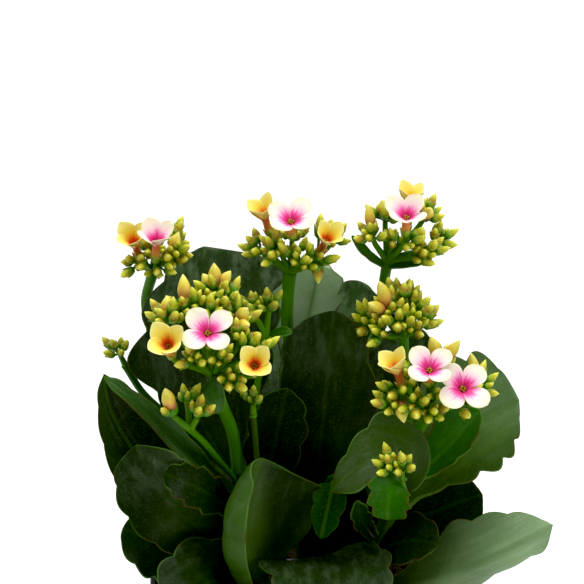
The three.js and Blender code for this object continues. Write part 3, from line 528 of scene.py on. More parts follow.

# Each leaf's look and ramps paint shade and sheen into its colour: leaves low down or further in are painted
# darker, and some are painted with a sheen.
leaves = [
    {"name": "leaf_back_left", "finish": "dark", "half": 29, "face": (0.1, -1, 0.3),
     "path": ((-23, -16.4, 149), (-31, 8, 176), (-39, 18, 210), (-38, 28, 235)), "lobes": 4.5,
     "shift": (-0.1, 0.4), "notch": 4.2,
     "sides": ((0.05, 0.8, 1.2, 1, 0.72, 0.35, 0), (0.05, 0.55, 0.92, 1.04, 1.16, 0.95, 0.05)),
     "curl": (15, 20),
     "look": (0, 0.06, 0.25), "shine": (0.3, 2, 205, 235), "dim": (0.8, 2, 215, 180)},
    {"name": "leaf_back_keeled", "finish": "grey", "half": 15, "face": (0, -1, 0.3),
     "path": ((-2, 12, 155), (-2, 26, 184), (5, 28, 210), (8, 28, 229)), "notch": 2.4, "teeth": True,
     "sides": ((0.05, 0.6, 0.95, 1.2, 1.35, 1.15, 0.2), (0.05, 0.4, 0.6, 0.8, 0.95, 0.8, 0.1)),
     "fold": (22, 26), "keel": 8, "groove": -1.3, "ribReach": 5,
     "look": (0, 3, 0)},
    {"name": "leaf_back_centre", "finish": "dark", "half": 17, "face": (0.1, -1, 0.3),
     "path": ((0, 12, 140), (9, 26, 165), (18, 36, 195), (23.5, 38, 217)),
     "look": (0, 0.16, 0.1), "shine": (0.25, 2, 195, 215)},
    {"name": "leaf_middle", "finish": "dark", "half": 22, "face": (-0.05, -1, 0.3),
     "path": ((1, 12, 124), (7, -14, 146), (10, -8, 182), (13, 6, 216)), "lobes": 4.5, "shift": (0.2, 0),
     "notch": 1.8,
     "sides": ((0.05, 0.5, 0.75, 0.86, 0.92, 0.68, 0.05), (0.05, 0.55, 0.92, 1.02, 0.8, 0.56, 0.1)),
     "fold": (12, 8), "curl": (10, 14),
     "look": (0.1, 0, 0.45), "shine": (0.12, 2, 180, 214), "dim": (0.5, 0, 14, -2)},
    {"name": "leaf_middle_right", "finish": "grey", "half": 13, "face": (-0.4, -0.7, 0.6),
     "path": ((38.5, -12.5, 150), (42, -30, 169), (33, -37, 182), (12, -36, 157.5)), "notch": 1.6,
     "sides": ((0.1, 0.4, 0.6, 0.85, 0.8, 0.5, 0), (0.1, 1.15, 1.45, 1, 0.66, 0.35, 0)),
     "look": (0, 0, 0.3)},
    {"name": "leaf_right", "finish": "grey", "half": 23, "face": (-0.1, -1, 0.45),
     "path": ((37, -9, 142), (53, -8, 156), (66, -3, 175), (86, 0, 181)), "lobes": 5.5, "shift": (0.3, 0.2),
     "notch": 3.2, "sides": ((0.1, 0.5, 1, 1.25, 1.2, 0.85, 0), (0.2, 0.55, 0.8, 0.9, 0.75, 0.45, 0)),
     "look": (0, 0, 0), "shine": (0.19, 2, 158, 185), "dim": (0.35, 2, 165, 145)},
    {"name": "leaf_rim_right", "finish": "grey", "half": 22, "face": (-0.4, -0.6, 0.75),
     "path": ((25, 1, 101), (40, -34, 112), (68, -48, 130), (96, -50, 150)), "notch": 2,
     "sides": ((0.1, 0.62, 0.97, 0.88, 0.7, 0.36, 0), (0.1, 0.7, 0.6, 0.5, 0.48, 0.25, 0)),
     "fold": (0, -80), "curl": (12, -15), "stalk": 0.2,
     "look": (0, 0.16, 0), "shine": (0.62, 0, 50, 95), "dim": (0.3, 0, 55, 30)},
    {"name": "leaf_low_right", "finish": "dark", "half": 14, "face": (0, -0.9, 0.5),
     "path": ((32.7, -4.2, 126), (46, -10, 134), (60, -12, 142), (72, -8, 144)),
     "sides": ((0.1, 0.7, 0.8, 0.75, 0.7, 0.45, 0), (0.1, 0.6, 0.95, 0.95, 0.9, 0.5, 0)),
     "look": (0, 0, 0.9)},
    {"name": "leaf_flower_right", "finish": "young", "half": 11, "face": (0, -0.9, 0.4),
     "path": ((41, -13, 152), (52, -13, 158), (61, -15, 170), (69.5, -17, 184)), "lobes": 5.5, "notch": 1,
     "teeth": True, "sides": ((0.1, 0.6, 0.9, 1.05, 1.1, 0.7, 0), (0.1, 0.4, 0.55, 0.62, 0.5, 0.3, 0))},
    {"name": "leaf_low_middle", "finish": "dark", "half": 22, "face": (0, -0.45, 0.9),
     "path": ((3, 12, 100), (10, -12, 122), (15, -38, 138), (15, -68, 112)), "lobes": 5.5, "notch": 1.8,
     "sides": ((0.1, 0.6, 0.95, 1.05, 0.95, 0.65, 0), (0.1, 0.95, 1.38, 1.3, 1.12, 0.8, 0)),
     "look": (0, 0.04, 0.55), "shine": (0.12, 2, 118, 130), "dim": (0.6, 1, -45, -25)},
    {"name": "leaf_front_boat", "finish": "grey", "half": 28, "face": (0.5, -0.85, 0.1),
     "path": ((-15, -7, 106), (-14, -28, 108), (-30, -34, 141), (-14.5, -38, 172.5)), "lobes": 5.5,
     "sides": ((0.1, 0.5, 0.85, 1, 0.9, 0.5, 0), (0.1, 0.5, 0.98, 1.1, 1.06, 0.95, 0)), "fold": (0, 5),
     "curl": (155, 25),
     "look": (0.1, 0.03, 0.05), "dim": (0.9, 0, -21, -10)},
    {"name": "leaf_round_left", "finish": "dark", "half": 20, "face": (-0.1, -0.9, 0.4),
     "path": ((-19, -12, 120), (-31, -25, 130), (-52, -38, 147), (-62, -43, 180)), "lobes": 5.5,
     "sides": ((0.1, 0.5, 0.8, 0.88, 0.8, 0.55, 0), (0.1, 0.5, 0.8, 0.88, 0.82, 0.55, 0)), "stalk": 0.2,
     "look": (0.3, 0, 0.48), "shine": (0.1, 2, 140, 175), "dim": (0.7, 0, -46, -66)},
    {"name": "leaf_far_left", "finish": "grey", "half": 18, "face": (-0.2, -0.9, 0.4),
     "path": ((-21.5, -14, 134.5), (-46, -6, 142), (-74, -9, 160), (-76, -9, 195.5)), "lobes": 5.5,
     "sides": ((0.1, 0.6, 0.8, 0.58, 0.34, 0.18, 0), (0.1, 0.7, 1.1, 1.1, 0.95, 0.5, 0)),
     "look": (0.05, 0, 1)},
    {"name": "leaf_under_left", "finish": "dark", "half": 17, "face": (-0.1, -0.9, 0.5),
     "path": ((-16.8, -10, 111), (-34, -17, 124), (-51, -25, 129), (-69, -27, 138)), "lobes": 5.5,
     "notch": 2,
     "look": (0, 0, 0.5)},
    {"name": "leaf_low_left", "finish": "dark", "half": 19, "face": (-0.1, -0.9, 0.45),
     "path": ((-14, -7, 100.5), (-31, -18, 107), (-33, -53, 140), (-48, -62, 113)), "lobes": 5.5,
     "notch": 2, "sides": ((0.1, 0.6, 0.95, 1, 0.9, 0.6, 0), (0.1, 0.6, 0.95, 1, 0.9, 0.6, 0)),
     "look": (0, 0, 0.5), "shine": (0.05, 2, 120, 135)},
    {"name": "leaf_small_left", "finish": "dark", "half": 9, "face": (0, -0.9, 0.5),
     "path": ((-22, -16, 141), (-28, -36, 150), (-40, -45.5, 166), (-52, -45, 169)), "lobes": 5.5,
     "notch": 1.5, "teeth": True,
     "look": (0, 0, 0.7)},
    {"name": "leaf_strap_left", "finish": "young", "half": 6.5, "face": (0.3, -0.8, 0.7),
     "path": ((-22, -16.6, 147), (-32, -27, 151), (-51, -34, 185), (-75, -28, 202)), "lobes": 5.5,
     "notch": 0.7, "sides": ((0.3, 0.7, 0.9, 0.65, 0.5, 0.4, 0), (0.3, 0.5, 0.9, 0.9, 0.6, 0.45, 0)),
     "fold": (25, 25),
     "look": (0, 0.12, 0.6)},
    {"name": "leaf_behind_stalk", "finish": "dark", "half": 12, "face": (0, -1, 0.3),
     "path": ((-23, -18, 154), (-34, -12, 166), (-40, -10, 178), (-43, -10, 190)), "lobes": 3.5,
     "look": (0, 0, 0.5)},
    {"name": "leaf_inner_left", "finish": "dark", "half": 12, "face": (0, -1, 0.3),
     "path": ((-20.5, -12.5, 132), (-12, -17, 154), (-9, -18, 174), (-5, -15, 192)),
     "sides": ((0.1, 0.6, 1, 1.1, 0.9, 0.6, 0), (0.1, 0.6, 0.9, 1, 0.9, 0.6, 0)),
     "look": (0, 0, 1)},
    {"name": "leaf_back_right", "finish": "dark", "half": 16, "face": (0, -1, 0.3),
     "path": ((39, -12, 150), (32, 6, 166), (39, 11, 188), (46, 13, 207)),
     "look": (0, 0.16, 0.2)},
    {"name": "leaf_shoot_left", "finish": "young", "half": 7, "face": (-0.1, -1, 0.3),
     "path": ((2, 12, 111), (15, -15, 160), (15, -36, 171), (8, -36, 138)), "lobes": 3.5, "notch": 1,
     "stalk": 0.5,
     "look": (0.1, 0, 1.2)},
    {"name": "leaf_shoot_right", "finish": "dark", "half": 5, "face": (0.2, -0.9, 0.4),
     "path": ((31, -3, 121), (28, -14, 132), (22, -26, 140), (22, -32, 152)), "lobes": 3.5, "notch": 1,
     "look": (0, 0, 0.4)},
    {"name": "leaf_low_front_right", "finish": "dark", "half": 13, "face": (-0.2, -0.6, 0.8),
     "path": ((27, -1, 109), (31, -20, 126), (40, -32, 138), (53, -38, 136)),
     "look": (0, 0, 0.9)},
    {"name": "leaf_low_inner", "finish": "dark", "half": 17, "face": (0, -0.9, 0.5),
     "path": ((3, 12, 104), (12, 17, 112), (21, 17, 124), (27, 15, 137)), "lobes": 3.5,
     "look": (0, 0, 0.6)},
    {"name": "leaf_rear_left", "finish": "dark", "half": 20, "face": (-0.3, 0.2, 1),
     "path": ((-17, -9, 116), (-30, 16, 140), (-44, 34, 152), (-56, 46, 146)), "lobes": 3.5},
    {"name": "leaf_rear_middle", "finish": "dark", "half": 22, "face": (0, 0.3, 1),
     "path": ((2, 12, 117), (2, 34, 146), (0, 56, 156), (-4, 72, 146)), "lobes": 3.5},
    {"name": "leaf_rear_high", "finish": "dark", "half": 16, "face": (-0.1, 0.4, 1),
     "path": ((0, 12, 129), (-6, 34, 150), (-14, 56, 178), (-20, 68, 184)), "lobes": 3.5},
    {"name": "leaf_rear_right", "finish": "dark", "half": 20, "face": (0.3, 0.2, 1),
     "path": ((29, -2, 115), (44, 20, 140), (56, 36, 150), (64, 48, 142)), "lobes": 3.5},
]


# Half width along the blade, 0 at its base to 1 at its tip: a quarter sine wave to the power 1.2 up to
# the widest place, then the upper half of a superellipse.
def outline(q, widest, roundness):
    rise = np.sin(np.pi / 2 * np.clip(q / widest, 0, 1)) ** 1.2
    fall = np.sqrt(np.maximum(0, 1 - np.clip((q - widest) / (1 - widest), 0, 1) ** roundness))
    return np.where(q < widest, rise, fall)


# A smooth curve (Catmull-Rom) through values that stand at equal steps from 0 to 1.
def throughValues(values, e):
    values = np.array(values, float)
    last = len(values) - 1
    k = np.minimum((e * last).astype(int), last - 1)
    f = e * last - k
    a, b, c, d = (values[np.clip(k + n, 0, last)] for n in (-1, 0, 1, 2))
    return np.maximum(0, b + 0.5 * f * (c - a + f * (2 * a - 5 * b + 4 * c - d + f * (3 * (b - c) + d - a))))


# The rows of a blade: t on the midrib, q on the blade and e on its lobes, closest at the notches.
def bladeRows(leaf):
    inLobe = 0.5 - 0.5 * np.cos(np.pi * np.arange(leaf["rowsPerLobe"]) / leaf["rowsPerLobe"])
    e = ((np.arange(math.ceil(leaf["lobes"]))[:, None] + inLobe) / leaf["lobes"]).ravel()
    e = np.unique(np.concatenate([e[e < 0.99], leaf["tipRows"]]))
    q = 1 - (1 - e) ** 1.5
    foot = np.array(leaf["footRows"] if leaf["stalk"] else ())
    t = np.concatenate([foot * leaf["stalk"], leaf["stalk"] + (1 - leaf["stalk"]) * q])
    none = np.zeros(len(foot))
    return t, np.concatenate([none, q])[:, None], np.concatenate([none, e])[:, None]


# A blade on a midrib that is a Bezier curve. Across it, u from -1 to 1, the slope starts at the fold
# angle and turns by the curl angle times u to the power 1.5. The margin follows the outline less a bite
# at each notch: notch x (1 - lobe), where the lobe is |sin(pi (lobes e + shift))| to a power, or a
# slanting tooth that rises over 0.78 of its length and drops over the rest. The thickness falls from the
# middle to the margin, less a groove above and plus a rib below, both exp(-(reach / width) squared),
# fading as 1 - q to the power ribReach.
def bladeLump(leaf, seed):
    leaf = {**blade, **leaf}
    t, q, e = bladeRows(leaf)
    middle, along = bezier(leaf["path"], t)
    side = unit(np.cross(along, np.array(leaf["face"], float)))
    normal = np.cross(side, along)
    middle, side, normal = middle[:, None], side[:, None], normal[:, None]
    base = leaf["stalkHalf"] * (1 - q)
    even = np.linspace(-1, 1, leaf["columns"])[None]
    u = np.sin(np.pi / 2 * even) * 0.35 + 0.65 * even  # a little closer together at the margins
    size = np.abs(u)

    if "sides" in leaf:
        shape = np.where(u > 0, throughValues(leaf["sides"][1], e), throughValues(leaf["sides"][0], e))
    else:
        shape = outline(q, leaf["widest"], leaf["round"]) + 0 * u
    phase = leaf["lobes"] * e + np.where(u > 0, leaf["shift"][1], leaf["shift"][0])
    if leaf["teeth"]:
        saw = phase % 1
        lobe = np.minimum(saw / leaf["toothRise"], (1 - saw) / leaf["toothDrop"])
    else:
        uneven = 0 if "sides" in leaf else 0.8
        phase = phase + uneven * np.sin(2.1 * phase + np.sign(u) + seed) * e * (1 - e)
        lobe = np.abs(np.sin(np.pi * phase)) ** leaf["lobeShape"]
    bite = leaf["notch"] * leaf["notchFactor"] * shape * (1 - lobe)
    width = np.maximum(leaf["tipHalf"], base + (leaf["half"] - base) * shape - bite)

    bent = np.minimum(1, shape * 2)
    fold = np.radians(np.where(u > 0, leaf["fold"][1], leaf["fold"][0])) * bent
    curl = np.radians(np.where(u > 0, leaf["curl"][1], leaf["curl"][0])) * bent
    shares = (np.arange(8) + 0.5) / 8
    slopes = fold[..., None] + curl[..., None] * (size[..., None] * shares) ** 1.5
    across = (np.cos(slopes).mean(-1) * size * np.sign(u))[..., None]
    high = (np.sin(slopes).mean(-1) * size)[..., None]
    slope = (fold + curl * size**1.5)[..., None]
    out = normal * np.cos(slope) - side * np.sign(u)[..., None] * np.sin(slope)
    spread = np.maximum(0.1, width - leaf["marginThick"] / 2)[..., None]
    surface = middle + side * across * spread + normal * high * spread

    length = np.sum(np.linalg.norm(np.diff(middle[:, 0], axis=0), axis=1))
    reach = u * width
    fade = 1 - q ** leaf["ribReach"]
    flesh = leaf["middleThick"] + (leaf["marginThick"] - leaf["middleThick"]) * size ** leaf["bulge"]
    flesh = flesh * np.minimum(1, 0.45 + 1.6 * shape)
    thick = flesh + (leaf["stalkThick"] - flesh) * np.maximum(0, 1 - q / leaf["fleshyShare"])
    groove = leaf["groove"] * np.exp(-((reach / leaf["grooveWidth"]) ** 2)) * fade
    rib = leaf["rib"] * np.exp(-((reach / leaf["ribWidth"]) ** 2)) * fade
    phase = (q * length - leaf["veinRise"] * np.abs(reach)) / leaf["veinGap"] + 0.25 * np.sign(u)
    vein = np.exp(-((np.sin(np.pi * phase) / leaf["veinWidth"]) ** 2)) * np.minimum(1, shape) * (1 - size**3)
    vein = vein * np.clip(np.abs(reach) / 2, 0, 1)
    ripple = leaf["ripple"] * waves(surface, leaf["rippleLength"], seed) * shape
    ripple = ripple * np.minimum(1, leaf["half"] / 16)
    ripple = ripple * (0.3 + 0.7 * size)
    above = thick / 2 - groove - leaf["veinDepth"] * vein + ripple
    below = thick / 2 + rib + 0.6 * leaf["veinDepth"] * vein - ripple

    place = np.stack([reach, q + 0 * u, (1 - size) * width], -1)
    # The look paints yellow, a grey sheen and dark shade; the ramps add painted sheen and painted shade from
    # one place to another.
    look = np.broadcast_to(np.array(leaf["look"], float), place.shape).copy()
    for key, part in (("shine", 1), ("dim", 2)):
        amount, axis, start, end = leaf[key]
        share = np.clip((surface[..., axis] - start) / (end - start), 0, 1)
        look[..., part] += amount * share**2 * (3 - 2 * share)
    vein = vein + leaf["keel"] * np.exp(-((reach / leaf["keelWidth"]) ** 2))
    zero = np.zeros_like(reach)
    return sheet(surface + out * above[..., None], surface - out * below[..., None],
                 bladePlace=(place, place), bladeLook=(look, look), bladeVein=(vein, vein),
                 bladeUnder=(zero, zero + 1))


# Each leaf is a piece of its own, and its number is the seed of its ripples.
def makeLeaves(materials):
    for number, leaf in enumerate(leaves):
        slotName = "leaf_" + leaf["finish"]
        makePiece(leaf["name"] + "_blade", [(bladeLump(leaf, number + 1), materials[slotName])],
                  [leaf["name"]])
    print("leaves:", len(leaves))


# The three main stems, each a smooth path, with ring-shaped swellings where old leaves sat.
stems = {
    "radius": 3.5, "steps": 16, "around": 20, "joints": 5, "swelling": 0.12, "tone": 0.3,
    "tipFrom": 0.97, "tipShare": 0.75,
    "left": ((-12, -4, 64), (-14, -6, 96), (-20, -13, 130), (-24, -19, 160)),
    "centre": ((4, 12, 64), (3, 12, 96), (0, 12, 130), (-3, 12, 168)),
    "right": ((20, 4, 64), (24, 2, 96), (34, -6, 130), (41, -14, 158)),
}
stalkLook = {
    "greens": ((0.0, "#2c2b0c"), (0.35, "#284606"), (0.6, "#336c03"), (1.0, "#6c9a14")),  # by tone
    "patch": "#123404", "line": "#66921c", "rough": (0.32, 0.48),
}


# A green stalk with fine streaks along it, woodier and browner low down where its tone is 0.
def stalkMaterial():
    look = stalkLook
    material, tree, shader = newMaterial("stalk green", Specular_IOR_Level=0.1)
    (around, along, tone), _ = readKept(tree, "stalkPlace")
    lines = grain(tree, 3.0, 3.0, threeOf(tree, times(tree, around, 9.0), along))
    green = ramp(tree, tone, *look["greens"])
    patches = step(tree, grain(tree, 120.0, 3.0), 0.3, 0.7, 0.0, 0.35)
    colour = blend(tree, patches, green, blend(tree, 0.5, green, look["patch"]))
    colour = blend(tree, step(tree, lines, 0.45, 0.7, 0.0, 0.2), colour, look["line"])
    feed(tree, shader["Base Color"], colour)
    feed(tree, shader["Roughness"], step(tree, lines, 0.3, 0.7, *look["rough"]))
    feed(tree, shader["Normal"], bump(tree, lines, 0.3, 0.0002))
    return material


# Each stem swells by a cosine to the power 12, a narrow ring at each joint, and is thinner at its tip.
def makeStems(material):
    def swell(share):
        ring = np.cos(math.pi * stems["joints"] * share) ** 12
        return (1 + stems["swelling"] * ring) * np.where(share > stems["tipFrom"], stems["tipShare"], 1)

    for name in ("left", "centre", "right"):
        path = smoothPath(stems[name], stems["steps"])
        one = stalk(path, stems["radius"], stems["around"], stems["tone"], swell)
        makePiece("stem_" + name + "_skin", [(one, material)], ["stem_" + name])
    print("stems: 3")


# Flower heads. stalk is a smooth path, thick times slim its radius, tone its green. sprays are the joints
# that carry buds, and "between" more joints among them. spread and budSize are for all its buds, and
# green says how unripe they are. ripe are tall buds: the tip, the number of its spray, the radius. young
# are buds given one by one: the tip and the number of its joint. flowers: the centre, the way it looks, how
# far the petals rise in degrees, the colour and the size. bracts are small blades.
heads = [
    {"name": "head_back_left", "thick": 1.7,
     "stalk": ((-22, -16, 145), (-42, 30, 176), (-61, 34, 205), (-58, 25, 226)),
     "ripe": ((-47, 12, 246.5, 2, 2.2),),
     "between": ((-60, 8, 236), (-54, 6, 237), (-49, 11, 238), (-56, 10, 232)),
     "sprays": ((-63, 12, 234), (-57, 18, 236), (-51, 12, 236), (-55, 7, 234), (-50, 18, 239)),
     "flowers": ((-64, 11, 241, -0.2, -0.5, 0.85, 56, "yellow", 0.92),
                 (-55.5, 3, 244.5, 0.05, -0.3, 0.95, 54, "white", 0.9))},
    {"name": "head_back_middle", "thick": 2,
     "stalk": ((-3, 12, 166), (-4, 11, 190), (-5, 10, 212), (-4, 10, 231)),
     "young": ((8, 4, 257, 3), (17, 4, 250, 5), (20, 6, 245, 5), (7, -2, 230, 3), (-21, 3, 248, 0),
               (-13, -3, 250, 1)),
     "between": ((0, -3, 240), (6, 0, 239), (-7, 1, 242), (2, 3, 236)),
     "sprays": ((-15, 6, 241), (-10, 0, 241), (-1, 0, 240), (7, 4, 242), (-3, 14, 243), (12, 8, 243)),
     "flowers": ((-13.5, 7, 253.5, -0.3, -0.25, 0.92, 58, "yellow", 0.86),
                 (-3.5, -4, 255.5, -0.05, -0.45, 0.87, 30, "white", 0.9),
                 (9.5, 0.5, 246, 0.3, -0.5, 0.8, 58, "yellow", 0.86))},
    {"name": "head_back_right", "thick": 1.6,
     "stalk": ((34, -7, 130), (25, 10, 152), (30, 20, 200), (34, 10, 235)),
     "ripe": ((26.1, 6, 260, 0, 2.1), (31.6, 8, 261, 1, 2.2), (50.3, 4, 258.5, 5, 2.2)),
     "between": ((36, 6, 243), (44, 4, 240)),
     "sprays": ((28, 4, 247), (33, 10, 252), (40, 0, 246), (48, 2, 241), (53, 10, 243), (48, 12, 252)),
     "flowers": ((42, 7, 258.5, 0.1, -0.15, 1, 60, "yellow", 0.88),
                 (40.5, -5, 257.5, 0, -0.45, 0.9, 40, "white", 0.88)),
     "bracts": ({"path": ((34, 10, 233), (28, 6, 237), (24, 4, 242), (20, 3, 248)), "half": 2.1,
                 "face": (0.3, -0.9, 0.4)},
                {"path": ((34, 10, 233), (39, 6, 235), (44, 4, 236), (49, 3, 238)), "half": 2.1,
                 "face": (0, -0.7, 0.7)})},
    {"name": "head_front_left", "thick": 2.4, "slim": 1,
     "stalk": ((-24, -19, 158), (-26, -22, 176), (-30, -27, 190), (-33, -30, 203)),
     "ripe": ((-44.2, -26, 242.7, 0, 2.6), (-32.6, -22, 245.7, 1, 2.3), (-37, -22, 241.4, 1, 2.2),
              (-26.2, -22, 242.6, 1, 2.2), (-50, -34, 237, 3, 2.3), (-19.7, -32, 231.2, 2, 2.4),
              (-19.2, -37, 226, 2, 2.2)),
     "between": ((-39, -29, 231), (-34, -26, 232), (-28.5, -25, 231), (-34, -31, 227), (-47, -34, 226),
                 (-22.7, -34, 219), (-17, -34, 214), (-31, -38, 213)),
     "sprays": ((-43, -30, 229), (-32, -22, 234), (-25, -26, 223), (-50, -36, 227), (-39, -42, 215),
                (-26, -40, 205), (-20, -34, 214)),
     "flowers": ((-34.5, -46, 226, 0, -0.6, 0.8, 24, "white", 0.95),
                 (-49, -48, 221.5, -0.1, -0.7, 0.7, 54, "yellow", 0.96),
                 (-17.2, -46, 213, 0.05, -0.75, 0.65, 52, "yellow", 0.92)),
     "bracts": ({"path": ((-34, -31, 202), (-34, -36, 204), (-33, -38, 199), (-31, -36, 190)), "half": 5,
                 "face": (-0.2, -0.95, 0.2), "look": (0, 0.15, 0)},)},
    {"name": "head_front_right", "thick": 2.1,
     "stalk": ((41, -14, 156), (42, -16, 166), (45, -21, 176), (49, -26, 186)),
     "ripe": ((49.3, -34, 220.7, 4, 2.4), (60.4, -32, 218.4, 4, 2.3), (64.4, -34, 214, 5, 2.1),
              (39.2, -44, 189.4, 0, 2.4)),
     "between": ((36, -38, 194), (43, -40, 195), (49, -38, 192)),
     "sprays": ((37, -36, 199), (44, -30, 200), (51, -38, 198), (60, -36, 194), (53, -28, 206),
                (68, -30, 198)),
     "flowers": ((36.8, -37, 206.8, -0.3, -0.3, 0.9, 56, "yellow", 0.92),
                 (48.5, -42, 209.5, 0, -0.5, 0.87, 30, "white", 0.9),
                 (61, -44, 203, 0.1, -0.65, 0.75, 20, "white", 1))},
    {"name": "head_middle_right", "thick": 1.4, "spread": 62,
     "stalk": ((41, -13, 153), (43, -6, 166), (42, -5, 190), (40, -4, 210)),
     "ripe": ((30.1, -13, 235.2, 0, 2.6), (25.9, -15, 227, 0, 2.2)),
     "between": ((36.4, -10, 220), (44.2, -8, 219), (40.3, -12, 215), (32.6, -12, 213), (39, -6, 224),
                 (34.3, -8, 216), (36, -4, 225), (42, -3, 224), (44, -4, 219)),
     "sprays": ((35, -7, 220), (39, 0, 221), (43, -3, 219), (46, -2, 212), (38, -12, 217), (43, -10, 214))},
    {"name": "head_far_left", "thick": 1.2, "budSize": 0.9, "green": 0.25, "tone": 0.5,
     "stalk": ((-22, -15, 142), (-44, 10, 162), (-62, 14, 178), (-69, 12, 191)),
     "sprays": ((-71, 9, 197),)},
    {"name": "head_low_left", "thick": 1.5, "slim": 0.8, "spread": 62, "budSize": 0.85,
     "stalk": ((-23.5, -18, 153), (-30, -27, 165), (-36, -35, 177), (-42, -41, 186)),
     "ripe": ((-50.7, -46, 204.4, 0, 2.6),),
     "sprays": ((-48, -43, 192), (-39, -42, 191), (-43, -36, 194))},
    {"name": "head_small_left", "thick": 1.1, "budSize": 0.85, "green": 0.35,
     "stalk": ((-22, -16, 143), (-17, -9, 158), (-17, -8, 186), (-13, -6, 211)),
     "sprays": ((-18, -6, 221), (-12, -6, 221)),
     "bracts": ({"path": ((-14, -6, 206), (-10, -8, 212), (-7, -10, 214), (-3, -10, 213)), "half": 2.6,
                 "face": (0, -0.6, 0.8)},)},
    {"name": "head_small_middle", "thick": 1.5, "slim": 0.75, "spread": 70, "budSize": 0.68, "green": 0.6,
     # The low tone of its stalk is painted shade.
     "tone": 0.3,
     "stalk": ((-23, -17, 151), (-17, -24, 160), (-17, -25, 172), (-18, -26, 186)),
     "sprays": ((-18, -26, 190),)},
    {"name": "head_small_back", "thick": 1.1,
     "stalk": ((-2, 12, 158), (14, 18, 180), (24, 15, 196), (27, 8, 207)),
     "young": ((22, 2, 222, 0), (25, 3, 222.5, 0), (28, 2, 220.5, 0), (20, 0, 217, 0), (29, 0, 215, 0),
               (24, -2, 216, 0)),
     "sprays": ((27, 6, 210),)},
    {"name": "head_small_right", "thick": 1.2, "slim": 0.9, "spread": 72, "budSize": 0.9,
     "stalk": ((38, -11, 145), (41, -28, 150), (40, -38, 159), (38, -44, 168)),
     "sprays": ((34.8, -46, 171.5), (38.6, -46, 171)),
     "bracts": ({"path": ((39, -41, 164), (35, -49, 172), (33, -54, 165), (33, -52, 153)), "half": 9,
                 "face": (0, -1, 0.2),
                 "stalk": 0.12, "lobes": 4.5, "notch": 1.8, "teeth": True, "fold": (14, 8),
                 "sides": ((0.1, 0.5, 0.85, 1, 1.05, 0.8, 0), (0.1, 0.7, 1.05, 1.05, 0.9, 0.6, 0))},)},
]

bud = {
    "length": 11.8, "radius": 2.0, "spread": 84,
    "perSpray": 10, "smallest": 0.72, "variety": 0.36, "clear": 3.0,
    "fillers": 20, "fillerSmallest": 0.52, "fillerVariety": 0.24, "fillerClear": 2.15,
    "pedicel": 0.3, "pedicelRadius": 0.6,  # the share of the reach that is stalk
    "points": (0.2, 0.45, 0.7, 0.95), "ripePoints": (0.4, 0.55, 0.7, 0.85, 1.0),  # kept clear of other buds
    "lift": 0.75, "sprayLift": (0, -0.15, 0.5),  # how far buds and sprays turn up and to the front
    "slender": (0.84, 0.2),  # least width and how much more its tone adds
    "branchRadius": (1.5, 1.0), "neckRadius": (1.2, 0.9), "stalkFactor": 1.2,
    "rootDrop": 1.5, "branchSteps": 9, "neckSteps": 11,
}
# start: slope at the throat in degrees; bend: how soon it opens; recurve: how far the tip turns back;
# hug: how closely a petal bends round the throat; twist: how far one edge rides over its neighbour;
# broadest: where along it a petal is widest; point and tip: the powers of the superellipse at its end
opened = {
    "petal": 11.2, "throat": 1.2, "sheet": 0.42, "rows": 20, "columns": 15,
    "sizeVariety": 0.1, "riseVariety": 9, "wave": 0.12, "narrowest": 0.12,
    "tubeLength": 9, "tubeRadius": 1.9, "tubeColumns": 24,
    "freePetals": 2.6, "freeRim": 1.5, "freeTube": 2.2,  # room that buds leave to a flower
    "white": {"half": 4.75, "broadest": 0.58, "point": 2.1, "tip": 0.58, "start": 72, "bend": 0.14,
              "recurve": 14, "hug": 0.34, "twist": 0.5},
    "yellow": {"half": 4.4, "broadest": 0.52, "point": 1.8, "tip": 0.75, "start": 80, "bend": 0.22,
               "recurve": 10, "hug": 0.6, "twist": 0.4},
    "anthers": 8, "antherRing": 1.05, "antherSize": (0.42, 0.42, 0.62),
}


# Rings round +Z from rows of heights and radii, each one number or one for every column. square makes the
# radius 1 + square cos(4 angle), and the angle grows by twist times the height.
def turnedRings(rows, columns, square=0.0, twist=0.0):
    angle = 2 * np.pi * np.arange(columns) / columns
    rings = []
    for height, radius in rows:
        height = np.broadcast_to(height, columns)
        turn = angle + twist * height
        wide = radius * (1 + square * np.cos(4 * angle))
        rings.append(np.stack([wide * np.cos(turn), wide * np.sin(turn), height], -1))
    return np.array(rings)


# A closed bud on +Z, 1 long and 1 in radius: four green sepals whose free pointed tips hug the lower half
# of a narrower pointed egg.
def youngBud():
    point = np.array([1, 0] * 4)  # where a sepal's tip is
    rows = [(0.0, 0.3), (0.1, 0.84), (0.26, 1.0), (0.34 + 0.3 * point, 0.95 + 0.2 * point),
            (0.36 + 0.1 * point, 0.82), (0.58, 0.86), (0.8, 0.58), (1.0, 0.05)]
    rings = turnedRings(rows, len(point))
    calyx = np.array([1, 1, 1, 1, 0, 0, 0, 0])[:, None] * np.ones(len(point))
    return skin(rings, budPlace=np.stack([rings[..., 2], calyx, 0 * calyx], -1))


# A tall bud about to open, on +Z: sepals over the lowest third, then a tube swelling to a twisted point.
def ripeBud():
    columns = 16
    angle = 2 * np.pi * np.arange(columns) / columns
    point = np.abs(np.cos(2 * angle)) ** 2
    sepals = [(0.0, 0.25), (0.03, 0.6), (0.1, 0.92), (0.17, 0.94), (0.2 + 0.2 * point, 0.92 + 0.12 * point)]
    tube = [(0.21 + 0.1 * point, 0.8), (0.3, 0.78), (0.4, 0.86), (0.5, 0.98), (0.6, 1.02), (0.7, 0.93),
            (0.8, 0.72), (0.9, 0.42), (0.96, 0.2), (0.995, 0.05)]
    rings = turnedRings(sepals + tube, columns, 0.06, 1.1)
    calyx = np.array([1.0] * len(sepals) + [0.0] * len(tube))[:, None] * np.ones(columns)
    return skin(rings, budPlace=np.stack([rings[..., 2], calyx, 1 + 0 * calyx], -1))


# The values of an open flower by name.
def readFlower(values):
    return {"centre": np.array(values[:3], float), "look": unit(np.array(values[3:6], float)),
            "rise": math.radians(values[6]), "colour": values[7], "size": values[8]}


